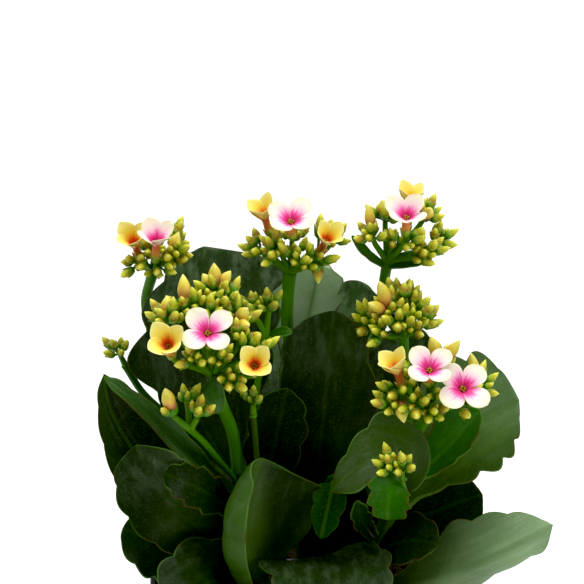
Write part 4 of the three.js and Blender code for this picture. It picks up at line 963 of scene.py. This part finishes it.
# Whether points lie in the room that an open flower needs: its petals' cone, its cup or its tube.
def inFlower(points, one):
    away = points - one["centre"]
    height = away @ one["look"]
    radius = np.linalg.norm(away - height[:, None] * one["look"], axis=1)
    reach = opened["petal"] * one["size"] * math.cos(one["rise"])
    petals = (radius < reach + opened["freeRim"]) & (
        np.abs(height - radius * math.tan(one["rise"])) < opened["freePetals"])
    cup = (radius < reach) & (height > 0) & (height < opened["petal"])
    tube = (radius < opened["tubeRadius"] + opened["freeTube"]) & (height <= 0)
    return np.any(petals | cup | (tube & (height > -opened["tubeLength"] - 1)))


# The directions of a spray's buds: a loosened sunflower spiral over a cap round the way the spray points.
# The lean grows with the square root of the count, the turn by the golden angle.
def sprayDirections(axis, count, seed, spread, first=0.3):
    k = np.arange(count)
    lean = math.radians(spread) * np.sqrt((k + first) / count) * (0.85 + 0.25 * scatter(k, seed + 0.1))
    turn = k * goldenAngle + 2 * math.pi * scatter(seed, 1) + 0.7 * (scatter(k, seed + 0.2) - 0.5)
    cap = np.stack([np.sin(lean) * np.cos(turn), np.sin(lean) * np.sin(turn), np.cos(lean)], -1)
    return cap @ turnTo(axis).T


# Which buds of a head have room: those listed, then from each joint first the big ones and after
# them smaller ones between. A little stalk goes its own way; its bud is turned back towards the way of
# the spray. Each is kept as its joint, its stalk's way, its size and its own way.
def placeBuds(head, number):
    fork = np.array(head["stalk"][3], float)
    flowers = [readFlower(values) for values in head.get("flowers", ())]
    joints = np.array(head["sprays"] + head.get("between", ()), float)
    taken = [np.array(tip[:3], float) * share + joints[tip[3]] * (1 - share)
             for tip in head.get("ripe", ()) for share in bud["ripePoints"]]
    chosen = []
    for x, y, z, spray in head.get("young", ()):
        way = np.array([x, y, z]) - joints[spray]
        chosen.append((joints[spray], unit(way), np.linalg.norm(way) / bud["length"], unit(way)))
        taken.extend(joints[spray] + np.outer(bud["points"], way))
    rounds = (
        (0, bud["perSpray"], bud["smallest"], bud["variety"], bud["clear"]),
        (0.5, bud["fillers"], bud["fillerSmallest"], bud["fillerVariety"], bud["fillerClear"]),
    )
    spread = head.get("spread", bud["spread"])
    for more, count, smallest, variety, clear in rounds:
        for spray, joint in enumerate(joints):
            seed = number * 10 + spray + more
            axis = unit(unit(joint - fork) + np.array(bud["sprayLift"]))
            sizes = (smallest + variety * scatter(np.arange(count) + 1, seed)) * head.get("budSize", 1)
            for along, size in zip(sprayDirections(axis, count, seed, spread), sizes):
                face = unit(along + bud["lift"] * axis)
                foot = joint + along * bud["pedicel"] * bud["length"] * size
                points = foot + np.outer(bud["points"], face) * (1 - bud["pedicel"]) * size * bud["length"]
                if any(inFlower(points, one) for one in flowers):
                    continue
                if taken:
                    apart = np.linalg.norm(np.array(taken)[None] - points[:, None], axis=-1)
                    if np.min(apart) < clear:
                        continue
                taken.extend(points)
                chosen.append((joint, along, size, face))
    return chosen


# A curve that leaves one point in one direction and reaches another in a second direction.
def sweep(start, leave, end, arrive, count):
    far = np.linalg.norm(end - start)
    points = [start, start + leave * far * 0.35, end - arrive * far * 0.35, end]
    return bezier(points, np.linspace(0, 1, count))[0]


# The stalk of a head, its branches to the joints and to the open flowers, and every bud's little stalk.
# The stalk swells by 0.18 share^12 at its top and by 0.1 (1 - share)^8 at its foot.
def headStalks(head, chosen):
    path = smoothPath(head["stalk"], 12)
    fork = path[-1]
    up = unit(path[-1] - path[-3])
    root = fork - up * bud["rootDrop"]
    thick = head["thick"] * head.get("slim", bud["stalkFactor"])
    lumps = [stalk(path, thick, 16, head.get("tone", 0.62),
                   lambda share: 1 + 0.18 * share**12 + 0.1 * (1 - share) ** 8)]
    for joint in np.array(head["sprays"] + head.get("between", ()), float):
        reach = unit(joint - fork)
        branch = sweep(root, unit(up + 0.8 * reach), joint, unit(reach + up), bud["branchSteps"])
        lumps.append(stalk(branch, np.linspace(*bud["branchRadius"], bud["branchSteps"]), 8, 0.7))
    for one in map(readFlower, head.get("flowers", ())):
        foot = one["centre"] - one["look"] * opened["tubeLength"]
        neck = sweep(root, unit(up + unit(foot - root)), foot, one["look"], bud["neckSteps"])
        lumps.append(stalk(neck, np.linspace(*bud["neckRadius"], bud["neckSteps"]), 8, 0.75))
    pedicel = stalk([(0, 0, -0.15), (0, 0, 0.5), (0, 0, 1.02)], [1.15, 0.9, 1.0], 5, 0.9)
    along = np.array([one[1] for one in chosen])
    sizes = np.array([one[2] for one in chosen])
    wide = bud["pedicelRadius"] * np.sqrt(sizes)
    scales = np.stack([wide, wide, bud["length"] * bud["pedicel"] * sizes], -1)
    lumps.append(copies(pedicel, scales, turnTo(along), np.array([one[0] for one in chosen])))
    return join(lumps)


# The small buds, each with a tone and a spin of its own, and the tall ones from joint to tip.
def headBuds(head, chosen, number):
    along = np.array([one[1] for one in chosen])
    faces = np.array([one[3] for one in chosen])
    sizes = np.array([one[2] for one in chosen])
    joints = np.array([one[0] for one in chosen])
    tones = scatter(np.arange(len(chosen)) + 3, number + 0.5)
    long = bud["length"] * (1 - bud["pedicel"]) * sizes
    least, more = bud["slender"]
    wide = bud["radius"] * np.sqrt(sizes) * (least + more * tones)
    spins = np.array([spinZ(6.3 * tone) for tone in scatter(np.arange(len(chosen)), number + 0.2)])
    places = joints + along * (bud["length"] * bud["pedicel"] * sizes)[:, None]
    shape = youngBud()
    shape["kept"]["budPlace"][:, 2] = -head.get("green", 0)
    lumps = [copies(shape, np.stack([wide, wide, long], -1), turnTo(faces) @ spins, places, budTone=tones)]
    for k, (x, y, z, spray, radius) in enumerate(head.get("ripe", ())):
        joint = np.array(head["sprays"][spray], float)
        way = np.array([x, y, z]) - joint
        scale = np.array([[radius, radius, np.linalg.norm(way)]])
        lumps.append(copies(ripeBud(), scale, turnTo(way)[None] @ spinZ(k), joint[None],
                            budTone=scatter([k], number + 0.9)))
    return join(lumps)


# Colour stops by height along the bud, and the tints that are laid over them.
budLook = {
    "sepals": ((0.0, "#2f6c02"), (0.25, "#48810a"), (0.45, "#6c960e"), (0.62, "#9ba324")),
    "young": ((0.35, "#7f9c0c"), (0.6, "#b2b91c"), (0.85, "#d6d63a"), (1.0, "#e6e676")),
    "tall": ((0.15, "#7f9a14"), (0.3, "#b56a3c"), (0.44, "#d08a50"), (0.58, "#dcb24a"), (0.76, "#e2d046"),
             (0.95, "#eee476")),
    "flush": "#a8602c", "sepalTip": "#8e5a26", "freshFoot": "#31600a", "freshTip": "#7d9420",
    "spots": "#5f7420", "rough": (0.38, 0.55),
}


# Buds: sepals green with brownish tips; the egg yellow-green, flushed brown at random over its lower
# part, and paler at its tip; tall buds orange-pink below and yellow above. Those of small heads are
# greener.
def budMaterial():
    look = budLook
    material, tree, shader = newMaterial("bud skin", Specular_IOR_Level=0.35, Subsurface_Weight=0.08,
                                         Subsurface_Scale=0.001, Roughness=0.45)
    (height, calyx, ripe), _ = readKept(tree, "budPlace")
    fresh = times(tree, ripe, -1.0, True)  # how green a small head's buds still are
    tone = readKept(tree, "budTone")[1]
    spots = grain(tree, 420.0, 3.0)
    green = ramp(tree, height, *look["sepals"])
    young = ramp(tree, height, *look["young"])
    flush = step(tree, plus(tree, times(tree, tone, 0.75), times(tree, spots, 0.5)), 0.45, 1.0, 0.0, 0.6)
    low = step(tree, height, 0.92, 0.55)
    young = blend(tree, times(tree, flush, low), young, look["flush"])
    tipped = step(tree, height, 0.42, 0.66, 0.0, 0.5)
    green = blend(tree, times(tree, flush, tipped), green, look["sepalTip"])
    tall = ramp(tree, height, *look["tall"])
    egg = blend(tree, step(tree, ripe, 0.0, 1.0), young, tall)
    colour = blend(tree, calyx, egg, green)
    colour = blend(tree, fresh, colour, blend(tree, height, look["freshFoot"], look["freshTip"]))
    shade = blend(tree, step(tree, spots, 0.35, 0.7, 0.0, 0.3), colour, look["spots"], "MULTIPLY")
    feed(tree, shader["Base Color"], blend(tree, 0.5, colour, shade))
    feed(tree, shader["Roughness"], step(tree, spots, 0.3, 0.7, *look["rough"]))
    feed(tree, shader["Normal"], bump(tree, grain(tree, 1500.0, 2.0), 0.3, 0.0001))
    return material


# One petal: s runs from the throat to the tip and u across. Its rise above the flower's plane falls from
# the start angle to its own one by exp(-s / bend), less recurve x s squared. Its half width is a sine up
# to its broadest place and a superellipse beyond. Across, it is bent on a circle whose radius is its
# distance from the axis over hug.
def petalLump(one, number, seed):
    form = opened[one["colour"]]
    s = np.linspace(0, 1, opened["rows"])[:, None] ** 0.9
    u = np.linspace(-1, 1, opened["columns"])[None]
    size = one["size"] * (1 + opened["sizeVariety"] * (scatter(number, seed) - 0.5))
    rise = one["rise"] + (math.radians(form["start"]) - one["rise"]) * np.exp(-s / form["bend"])
    rise = rise - math.radians(form["recurve"]) * s**2
    rise = rise + math.radians(opened["riseVariety"]) * (scatter(number, seed + 0.3) - 0.5)
    ahead = np.diff(s, axis=0, prepend=0) * opened["petal"] * size
    radius = opened["throat"] + np.cumsum(np.cos(rise) * ahead, axis=0)
    height = np.cumsum(np.sin(rise) * ahead, axis=0)

    broad = form["broadest"]
    grow = 0.2 + 0.8 * np.sin(np.pi / 2 * np.minimum(1, s / broad)) ** 1.15
    close = np.maximum(0, 1 - np.clip((s - broad) / (1 - broad), 0, 1) ** form["point"]) ** form["tip"]
    half = np.maximum(opened["narrowest"], form["half"] * size * np.where(s < broad, grow, close))
    circle = np.maximum(radius, 2.2) / form["hug"]
    lateral = circle * np.sin(u * half / circle)
    shift = circle * (1 - np.cos(u * half / circle))
    height = height + form["twist"] * u * np.sin(np.pi * s) + opened["wave"] * np.cos(5 * u + 3 * number) * s

    turn = (number + 0.5) * math.pi / 2
    out = np.array([math.cos(turn), math.sin(turn), 0])
    across = np.array([math.sin(turn), -math.cos(turn), 0])
    grid = (out * (radius - shift * np.sin(rise))[..., None] + across * lateral[..., None]
            + np.array([0, 0, 1.0]) * (height + shift * np.cos(rise) * 0.8)[..., None])
    normal = unit(np.cross(np.gradient(grid, axis=0), np.gradient(grid, axis=1)))
    normal = normal * np.sign(normal[opened["rows"] // 2, opened["columns"] // 2, 2] or 1)
    thick = opened["sheet"] * (1 - 0.5 * s) / 2
    place = np.stack(np.broadcast_arrays(u, s, (number + seed) * np.ones_like(u)), -1)
    return sheet(grid + normal * thick[..., None], grid - normal * thick[..., None], 2,
                 petalPlace=(place, place), petalUnder=(0 * place[..., 0], 0 * place[..., 0] + 1))


# The flower's foot: four green sepals round a hollow tube that narrows upwards and opens at its mouth.
def tubeLump():
    columns = opened["tubeColumns"]
    angle = 2 * np.pi * np.arange(columns) / columns
    point = np.abs(np.cos(2 * angle)) ** 2.5
    low = -opened["tubeLength"]
    sepals = [(low, 0.7), (low + 0.3, 1.2), (low + 1.2, 1.85), (low + 2.2, 2.0),
              (low + 2.8 + 2.6 * point, 2.05 + 0.35 * point)]
    tube = [(low + 2.9 + 1.2 * point, 1.75), (low + 3.6, 1.7), (low + 5, 1.6), (low + 7, 1.4), (-0.8, 1.35),
            (0.1, 1.55), (0.7, 1.9)]
    hollow = [(0.8, 1.85), (0.3, 1.35), (-0.8, 1.0), (-2.0, 0.85)]
    rings = turnedRings(sepals + tube + hollow, columns, 0.05)
    part = np.array([0] * len(sepals) + [1] * len(tube) + [2] * len(hollow))[:, None] * np.ones(columns)
    share = (rings[..., 2] - low) / opened["tubeLength"]
    return skin(rings, tubePlace=np.stack([share, part, 0 * part], -1))


# Small eggs in a ring in the throat, every other one further in and higher.
def antherLump():
    rows = [(-0.95, 0.3), (-0.5, 0.85), (0.1, 1.0), (0.6, 0.75), (0.95, 0.25)]
    egg = skin(turnedRings(rows, 8), tubePlace=np.broadcast_to(np.array([0, 3.0, 0]), (len(rows), 8, 3)))
    number = np.arange(opened["anthers"])
    angle = 2 * np.pi * (number + 0.25) / opened["anthers"]
    ring = opened["antherRing"] * (1 - 0.35 * (number % 2))
    places = np.stack([ring * np.cos(angle), ring * np.sin(angle), 0.5 + 0.3 * (number % 2)], -1)
    scales = np.tile(np.array(opened["antherSize"]), (len(angle), 1))
    return copies(egg, scales, turnTo(places + np.array([0, 0, 2.0])), places)


# Four petals, a tube and its anthers, made round +Z, turned to where the flower looks, and moved.
def flowerLayers(one, seed, materials):
    turn = turnTo(one["look"]) @ spinZ(math.radians(24) * (scatter(seed, 4) - 0.5))
    layers = [(petalLump(one, number, seed), materials["petal_" + one["colour"]]) for number in range(4)]
    layers += [(tubeLump(), materials["throat_" + one["colour"]]), (antherLump(), materials["anther"])]
    for part, _ in layers:
        part["corners"] = part["corners"] @ turn.T + one["centre"]
    return layers


# Colour stops from the throat to the tip, how far the rays run ahead, and the colour at the edge.
petalLooks = {
    "white": {
        "inside": ((0.0, "#b0205e"), (0.14, "#cc0f66"), (0.28, "#e0348f"), (0.4, "#ec8dbd"),
                   (0.52, "#f0cdd2"), (0.72, "#ece0d2"), (1.0, "#ece2bc")),
        "outside": ((0.0, "#d9a04e"), (0.3, "#e8c2b0"), (0.6, "#ece0cd"), (1.0, "#ebe2bf")),
        "ray": 0.3, "edge": "#ebe3b6", "hollow": "#8e2a3e",
    },
    "yellow": {
        "inside": ((0.0, "#b02a14"), (0.14, "#d03c16"), (0.26, "#e06a24"), (0.36, "#e8ac38"),
                   (0.52, "#edd64c"), (1.0, "#f0e88c")),
        "outside": ((0.0, "#cf8038"), (0.3, "#e2b84c"), (0.6, "#e8d060"), (1.0, "#ece088")),
        "ray": 0.2, "edge": "#efe69a", "hollow": "#7a2a1c",
    },
}
tubeLook = {
    "sepals": ((0.0, "#567f1b"), (0.35, "#7d9c28"), (0.62, "#b3ae46")),
    "tube": ((0.3, "#a9a33a"), (0.55, "#c98a3c"), (0.8, "#cc6b3a"), (1.0, "#d2553c")),
    "spots": "#8a6a2c",
    "anther": ((0.3, "#8f5a1e"), (0.55, "#b98a34"), (0.75, "#d9bd5c")),
}


# A petal is coloured from its throat outwards along rays of different lengths, and paler at its edge.
def petalMaterial(colour):
    look = petalLooks[colour]
    material, tree, shader = newMaterial("petal " + colour, Specular_IOR_Level=0.25, Subsurface_Weight=0.15,
                                         Subsurface_Scale=0.0015, Sheen_Weight=0.1, Sheen_Roughness=0.5)
    (across, along, seed), _ = readKept(tree, "petalPlace")
    under = readKept(tree, "petalUnder")[1]
    line = threeOf(tree, times(tree, across, 5.0), times(tree, along, 0.8), times(tree, seed, 7.3))
    rays = grain(tree, 2.2, 3.0, line, 0.65)
    ahead = times(tree, reckon(tree, "SUBTRACT", rays, 0.5), look["ray"] * 2)
    aside = times(tree, times(tree, across, across), 0.14)
    way = plus(tree, plus(tree, along, ahead), aside, True)
    colour = blend(tree, under, ramp(tree, way, *look["inside"]), ramp(tree, along, *look["outside"]))
    edge = step(tree, reckon(tree, "ABSOLUTE", across), 0.8, 1.0, 0.0, 0.7)
    colour = blend(tree, times(tree, edge, along), colour, look["edge"])
    feed(tree, shader["Base Color"], colour)
    feed(tree, shader["Roughness"], step(tree, rays, 0.3, 0.7, 0.42, 0.6))
    feed(tree, shader["Normal"], bump(tree, rays, 0.35, 0.0003))
    return material


# The tube: green sepals, then the corolla's own colour deepening to the mouth, dark inside. The part is 0
# for sepals, 1 for the tube and 2 for its hollow.
def throatMaterial(colour):
    material, tree, shader = newMaterial("throat " + colour, Specular_IOR_Level=0.3, Subsurface_Weight=0.1,
                                         Subsurface_Scale=0.001)
    (height, part, _), _ = readKept(tree, "tubePlace")
    spots = grain(tree, 500.0, 3.0)
    sepals = ramp(tree, height, *tubeLook["sepals"])
    tube = ramp(tree, height, *tubeLook["tube"])
    outer = blend(tree, step(tree, part, 0.2, 0.8), sepals, tube)
    base = blend(tree, step(tree, part, 1.2, 1.8), outer, petalLooks[colour]["hollow"])
    spotted = blend(tree, step(tree, spots, 0.4, 0.7, 0.0, 0.3), base, tubeLook["spots"])
    feed(tree, shader["Base Color"], spotted)
    feed(tree, shader["Roughness"], step(tree, spots, 0.3, 0.7, 0.42, 0.58))
    feed(tree, shader["Normal"], bump(tree, spots, 0.25, 0.0002))
    return material


# Anthers: grains of yellow and brown pollen.
def antherMaterial():
    material, tree, shader = newMaterial("anther", Specular_IOR_Level=0.25, Roughness=0.7)
    spots = grain(tree, 1800.0, 2.0)
    feed(tree, shader["Base Color"], ramp(tree, spots, *tubeLook["anther"]))
    feed(tree, shader["Normal"], bump(tree, spots, 0.5, 0.0002))
    return material


# Where a bract on a flower stalk differs from a leaf.
smallBract = {
    "lobes": 2.5, "notch": 0.3, "stalk": 0, "stalkHalf": 1.2, "stalkThick": 1.4, "middleThick": 1.1,
    "marginThick": 0.6, "columns": 13, "rowsPerLobe": 9, "ripple": 0.2, "groove": 0.2, "rib": 0.25,
}


# Each head is one piece of stalks and one of buds, and a piece for each bract and each open flower.
def makeHeads(materials):
    for number, head in enumerate(heads):
        name = head["name"]
        chosen = placeBuds(head, number)
        makePiece(name + "_stalks", [(headStalks(head, chosen), materials["stem"])], [name])
        buds = headBuds(head, chosen, number)
        makePiece(name + "_buds", [(buds, materials["flower_head"])], [name])
        for k, bract in enumerate(head.get("bracts", ())):
            small = bladeLump({**smallBract, **bract}, 50 + number * 3 + k)
            makePiece(f"{name}_bract_{k + 1}", [(small, materials["leaf_young"])], [name])
        for k, values in enumerate(head.get("flowers", ())):
            one = readFlower(values)
            flower = name.replace("head", "flower") + f"_{k + 1}"
            makePiece(flower + "_corolla", flowerLayers(one, number * 3 + k + 0.4, materials),
                      [flower])
        print(name, len(chosen), "buds")


# The pot, in millimetres, with a groove under its floor that holds the drain holes.
pot = {
    "height": 105, "rimRadius": 60, "footRadius": 43, "wall": 1.2, "floor": 2,
    "lipHeight": 9, "lipReach": 2.2, "grooveInner": 24, "grooveOuter": 35, "grooveDepth": 4,
    "drainHoles": 8, "drainRadius": 3, "columns": 160, "soften": 1.1, "softSteps": 5,
    "charcoal": ("#1d1c1f", "#2c2b2e"), "dust": "#6b665e", "rough": (0.34, 0.55),
}


# A profile whose corners are rounded: each becomes a short quadratic curve, (1 - t)^2 start + 2 t (1 - t)
# corner + t^2 end, between its two sides.
def soften(profile, radius, steps):
    p = np.array(profile, float)
    before, here, after = p[:-2], p[1:-1], p[2:]
    backward, forward = before - here, after - here
    reachBack = np.minimum(radius, np.linalg.norm(backward, axis=1, keepdims=True) * 0.45)
    reachOn = np.minimum(radius, np.linalg.norm(forward, axis=1, keepdims=True) * 0.45)
    start = here + unit(backward) * reachBack
    end = here + unit(forward) * reachOn
    t = np.linspace(0, 1, steps)[None, :, None]
    arcs = (1 - t) ** 2 * start[:, None] + 2 * t * (1 - t) * here[:, None] + t**2 * end[:, None]
    return arcs.reshape(-1, 2)


# The pot's wall, lip, foot and groove as one profile, outside first, turned round +Z.
def potLump():
    lip = pot["rimRadius"] - pot["lipReach"]
    under = pot["height"] - pot["lipHeight"]
    inner, outer, deep, floor = pot["grooveInner"], pot["grooveOuter"], pot["grooveDepth"], pot["floor"]
    profile = [(0, 0), (inner, 0), (inner + 1, deep), (outer - 1, deep), (outer, 0), (pot["footRadius"], 0),
               (pot["footRadius"] + 1, 1), (lip, under), (pot["rimRadius"] - 0.4, under + 0.6),
               (pot["rimRadius"], pot["height"] - 0.8), (pot["rimRadius"] - 0.8, pot["height"]),
               (lip, pot["height"]), (lip - pot["wall"], under - 1), (pot["footRadius"] - 0.6, floor),
               (outer + 0.8, floor), (outer - 0.2, deep + floor), (inner + 0.2, deep + floor),
               (inner - 0.8, floor), (0, floor)]
    line = soften(profile, pot["soften"], pot["softSteps"])
    return skin(turnedRings([(height, radius) for radius, height in line], pot["columns"]))


# Dark moulded plastic: charcoal with faint turning lines, dull scuffs and a little pale dust low down.
def potMaterial():
    material, tree, shader = newMaterial("pot plastic", Specular_IOR_Level=0.22, IOR=1.49)
    height = add(tree, "ShaderNodeSeparateXYZ", {0: objectPlace(tree)}).outputs["Z"]
    scuffs = grain(tree, 70.0, 5.0)
    fine = grain(tree, 900.0, 3.0)
    charcoal = blend(tree, step(tree, scuffs, 0.35, 0.7), *pot["charcoal"])
    dust = times(tree, step(tree, fine, 0.45, 0.75), step(tree, height, 0.035, 0.0, 0.05, 0.5))
    feed(tree, shader["Base Color"], blend(tree, dust, charcoal, pot["dust"]))
    feed(tree, shader["Roughness"], step(tree, scuffs, 0.3, 0.75, *pot["rough"]))
    inputs = {"W": times(tree, height, 900.0), "Scale": 1.0, "Detail": 2.0}
    rings = add(tree, "ShaderNodeTexNoise", inputs, noise_dimensions="1D").outputs["Fac"]
    low = bump(tree, fine, 0.25, 0.00008)
    feed(tree, shader["Normal"], bump(tree, rings, 0.2, 0.0001, low))
    return material


# The drain holes are cut with a Boolean and the result kept as the pot's own mesh.
def makePot(material):
    piece = makePiece("pot_shell", [(potLump(), material)], ["pot"])
    turns = 2 * np.pi * np.arange(pot["drainHoles"]) / pot["drainHoles"]
    middle = (pot["grooveInner"] + pot["grooveOuter"]) / 2
    heights = (-5, 0, 5, 14)
    pins = [stalk([(middle * math.cos(a), middle * math.sin(a), z) for z in heights], pot["drainRadius"], 24)
            for a in turns]
    whole = join(pins)
    mesh = bpy.data.meshes.new("drain pins")
    faces = whole["quads"].tolist() + whole["triangles"].tolist()
    mesh.from_pydata((whole["corners"] * millimetre).tolist(), [], faces)
    pinPiece = bpy.data.objects.new("drain pins", mesh)
    bpy.context.scene.collection.objects.link(pinPiece)
    cut = piece.modifiers.new("drain holes", "BOOLEAN")
    cut.object = pinPiece
    cut.operation = "DIFFERENCE"
    bpy.context.view_layer.update()
    finished = bpy.data.meshes.new_from_object(piece.evaluated_get(bpy.context.evaluated_depsgraph_get()))
    piece.modifiers.clear()
    piece.data = finished
    bpy.data.objects.remove(pinPiece)
    print("pot:", len(finished.polygons), "faces")


# The soil, in millimetres: unevenness is three pairs of a height and a length.
soil = {
    "top": 96, "crown": 2.5, "shoulder": 44, "edge": 55.4, "drop": 3.2,
    "side": ((6.3, 42.6), (60, 50.2), (88, 54.9)),  # heights and radii inside the pot
    "rows": 60, "columns": 220, "unevenness": ((1.3, 15), (0.7, 5.5), (0.35, 2.2)),
    "crumbs": 1500, "crumbSize": (0.35, 1.5), "crumbShape": (0.6, 0.7), "crumbRise": 0.35, "seed": 11,
    "chips": 60, "chipShape": (2.4, 1.1, 0.4),
    "peat": ((0.25, "#0d0805"), (0.5, "#20150d"), (0.7, "#3a281a"), (0.85, "#5a4029")),
    "pale": "#6e4f33", "fibre": "#120b07",
}


# The height of the soil: the crown less its share of the radius squared, falling away beyond the shoulder
# by the power 1.6, plus waves of three lengths.
def soilHeight(x, y):
    radius = np.hypot(x, y)
    inner = soil["top"] + soil["crown"] * (1 - np.clip(radius / soil["shoulder"], 0, 1) ** 2)
    outer = np.clip((radius - soil["shoulder"]) / (soil["edge"] - soil["shoulder"]), 0, 1)
    flat = np.stack([x, y, 0 * x], -1)
    rough = sum(high * waves(flat, length, 3.1 * length) for high, length in soil["unevenness"])
    return inner - soil["drop"] * outer**1.6 + rough


# The plug of soil: its side inside the pot, then its surface ring by ring to the middle.
def soilLump():
    angle = 2 * np.pi * np.arange(soil["columns"]) / soil["columns"]
    radius = soil["edge"] * np.linspace(1, 0.004, soil["rows"])[:, None]
    x, y = radius * np.cos(angle), radius * np.sin(angle)
    top = np.stack([x, y, soilHeight(x, y)], -1)
    side = turnedRings(soil["side"], soil["columns"])
    return skin(np.concatenate([side, top]))


# A crumb is two rings of five corners and two poles; copies are squeezed, turned and half sunk by a
# seeded draw. The first ones are flat chips.
def crumbLump():
    draw = np.random.default_rng(soil["seed"])
    rings = turnedRings([(-0.5, 0.85), (0.5, 0.85)], 5)
    rings[1] = rings[1] @ spinZ(math.pi / 5).T
    one = skin(rings)
    one["corners"][-2:, 2] = (-1, 1)
    count = soil["crumbs"]
    radius = (soil["edge"] - 1) * np.sqrt(draw.random(count))
    angle = 2 * np.pi * draw.random(count)
    small, large = soil["crumbSize"]
    size = small + (large - small) * draw.random(count) ** 3
    least, more = soil["crumbShape"]
    scales = size[:, None] * (least + more * draw.random((count, 3)))
    scales[:soil["chips"]] = scales[:soil["chips"]] * np.array(soil["chipShape"])
    x, y = radius * np.cos(angle), radius * np.sin(angle)
    places = np.stack([x, y, soilHeight(x, y) + soil["crumbRise"] * size], -1)
    tilts = turnTo(draw.normal(size=(count, 3)) + np.array([0, 0, 1.2]))
    turns = tilts @ np.array([spinZ(a) for a in 7 * angle])
    return copies(one, scales, turns, places, crumbTone=draw.random(count))


# Peat: dark brown with lighter crumbs and dark gaps between fibres.
def soilMaterial():
    material, tree, shader = newMaterial("peat", Specular_IOR_Level=0.2, Roughness=0.92)
    tone = readKept(tree, "crumbTone")[1]
    clods = grain(tree, 300.0, 5.0, roughness=0.65)
    voronoi = add(tree, "ShaderNodeTexVoronoi", {"Vector": objectPlace(tree), "Scale": 1200.0})
    fibres = voronoi.outputs["Distance"]
    colour = ramp(tree, clods, *soil["peat"])
    colour = blend(tree, step(tree, tone, 0.72, 1.0, 0.0, 0.75), colour, soil["pale"])
    colour = blend(tree, step(tree, fibres, 0.5, 0.1, 0.0, 0.4), colour, soil["fibre"])
    feed(tree, shader["Base Color"], colour)
    feed(tree, shader["Normal"], bump(tree, clods, 0.8, 0.0008, bump(tree, fibres, 0.5, 0.0003)))
    return material


def makeSoil(material):
    makePiece("soil_bed", [(soilLump(), material), (crumbLump(), material)], ["soil"])
    print("soil:", soil["crumbs"], "crumbs")


def makeFloor():
    half = studio["floorSize"] / 2
    mesh = bpy.data.meshes.new("floor")
    corners = [(-half, -half, 0), (half, -half, 0), (half, half, 0), (-half, half, 0)]
    mesh.from_pydata(corners, [], [(0, 1, 2, 3)])
    material, _, shader = newMaterial("floor", Specular_IOR_Level=0.1, Roughness=studio["floorRoughness"])
    shader["Base Color"].default_value = (*studio["floorColour"], 1)
    mesh.materials.append(material)
    floor = bpy.data.objects.new("floor", mesh)
    bpy.context.scene.collection.objects.link(floor)
    print("floor:", studio["floorSize"], "m")


makeCamera()
makeLights()
makeFloor()
materials = {
    "leaf_dark": leafMaterial("dark"),
    "leaf_grey": leafMaterial("grey"),
    "leaf_young": leafMaterial("young"),
    "stem": stalkMaterial(),
    "flower_head": budMaterial(),
    "petal_white": petalMaterial("white"),
    "petal_yellow": petalMaterial("yellow"),
    "throat_white": throatMaterial("white"),
    "throat_yellow": throatMaterial("yellow"),
    "anther": antherMaterial(),
}
print("materials:", len(materials))
makePot(potMaterial())
makeSoil(soilMaterial())
makeStems(materials["stem"])
makeLeaves(materials)
makeHeads(materials)
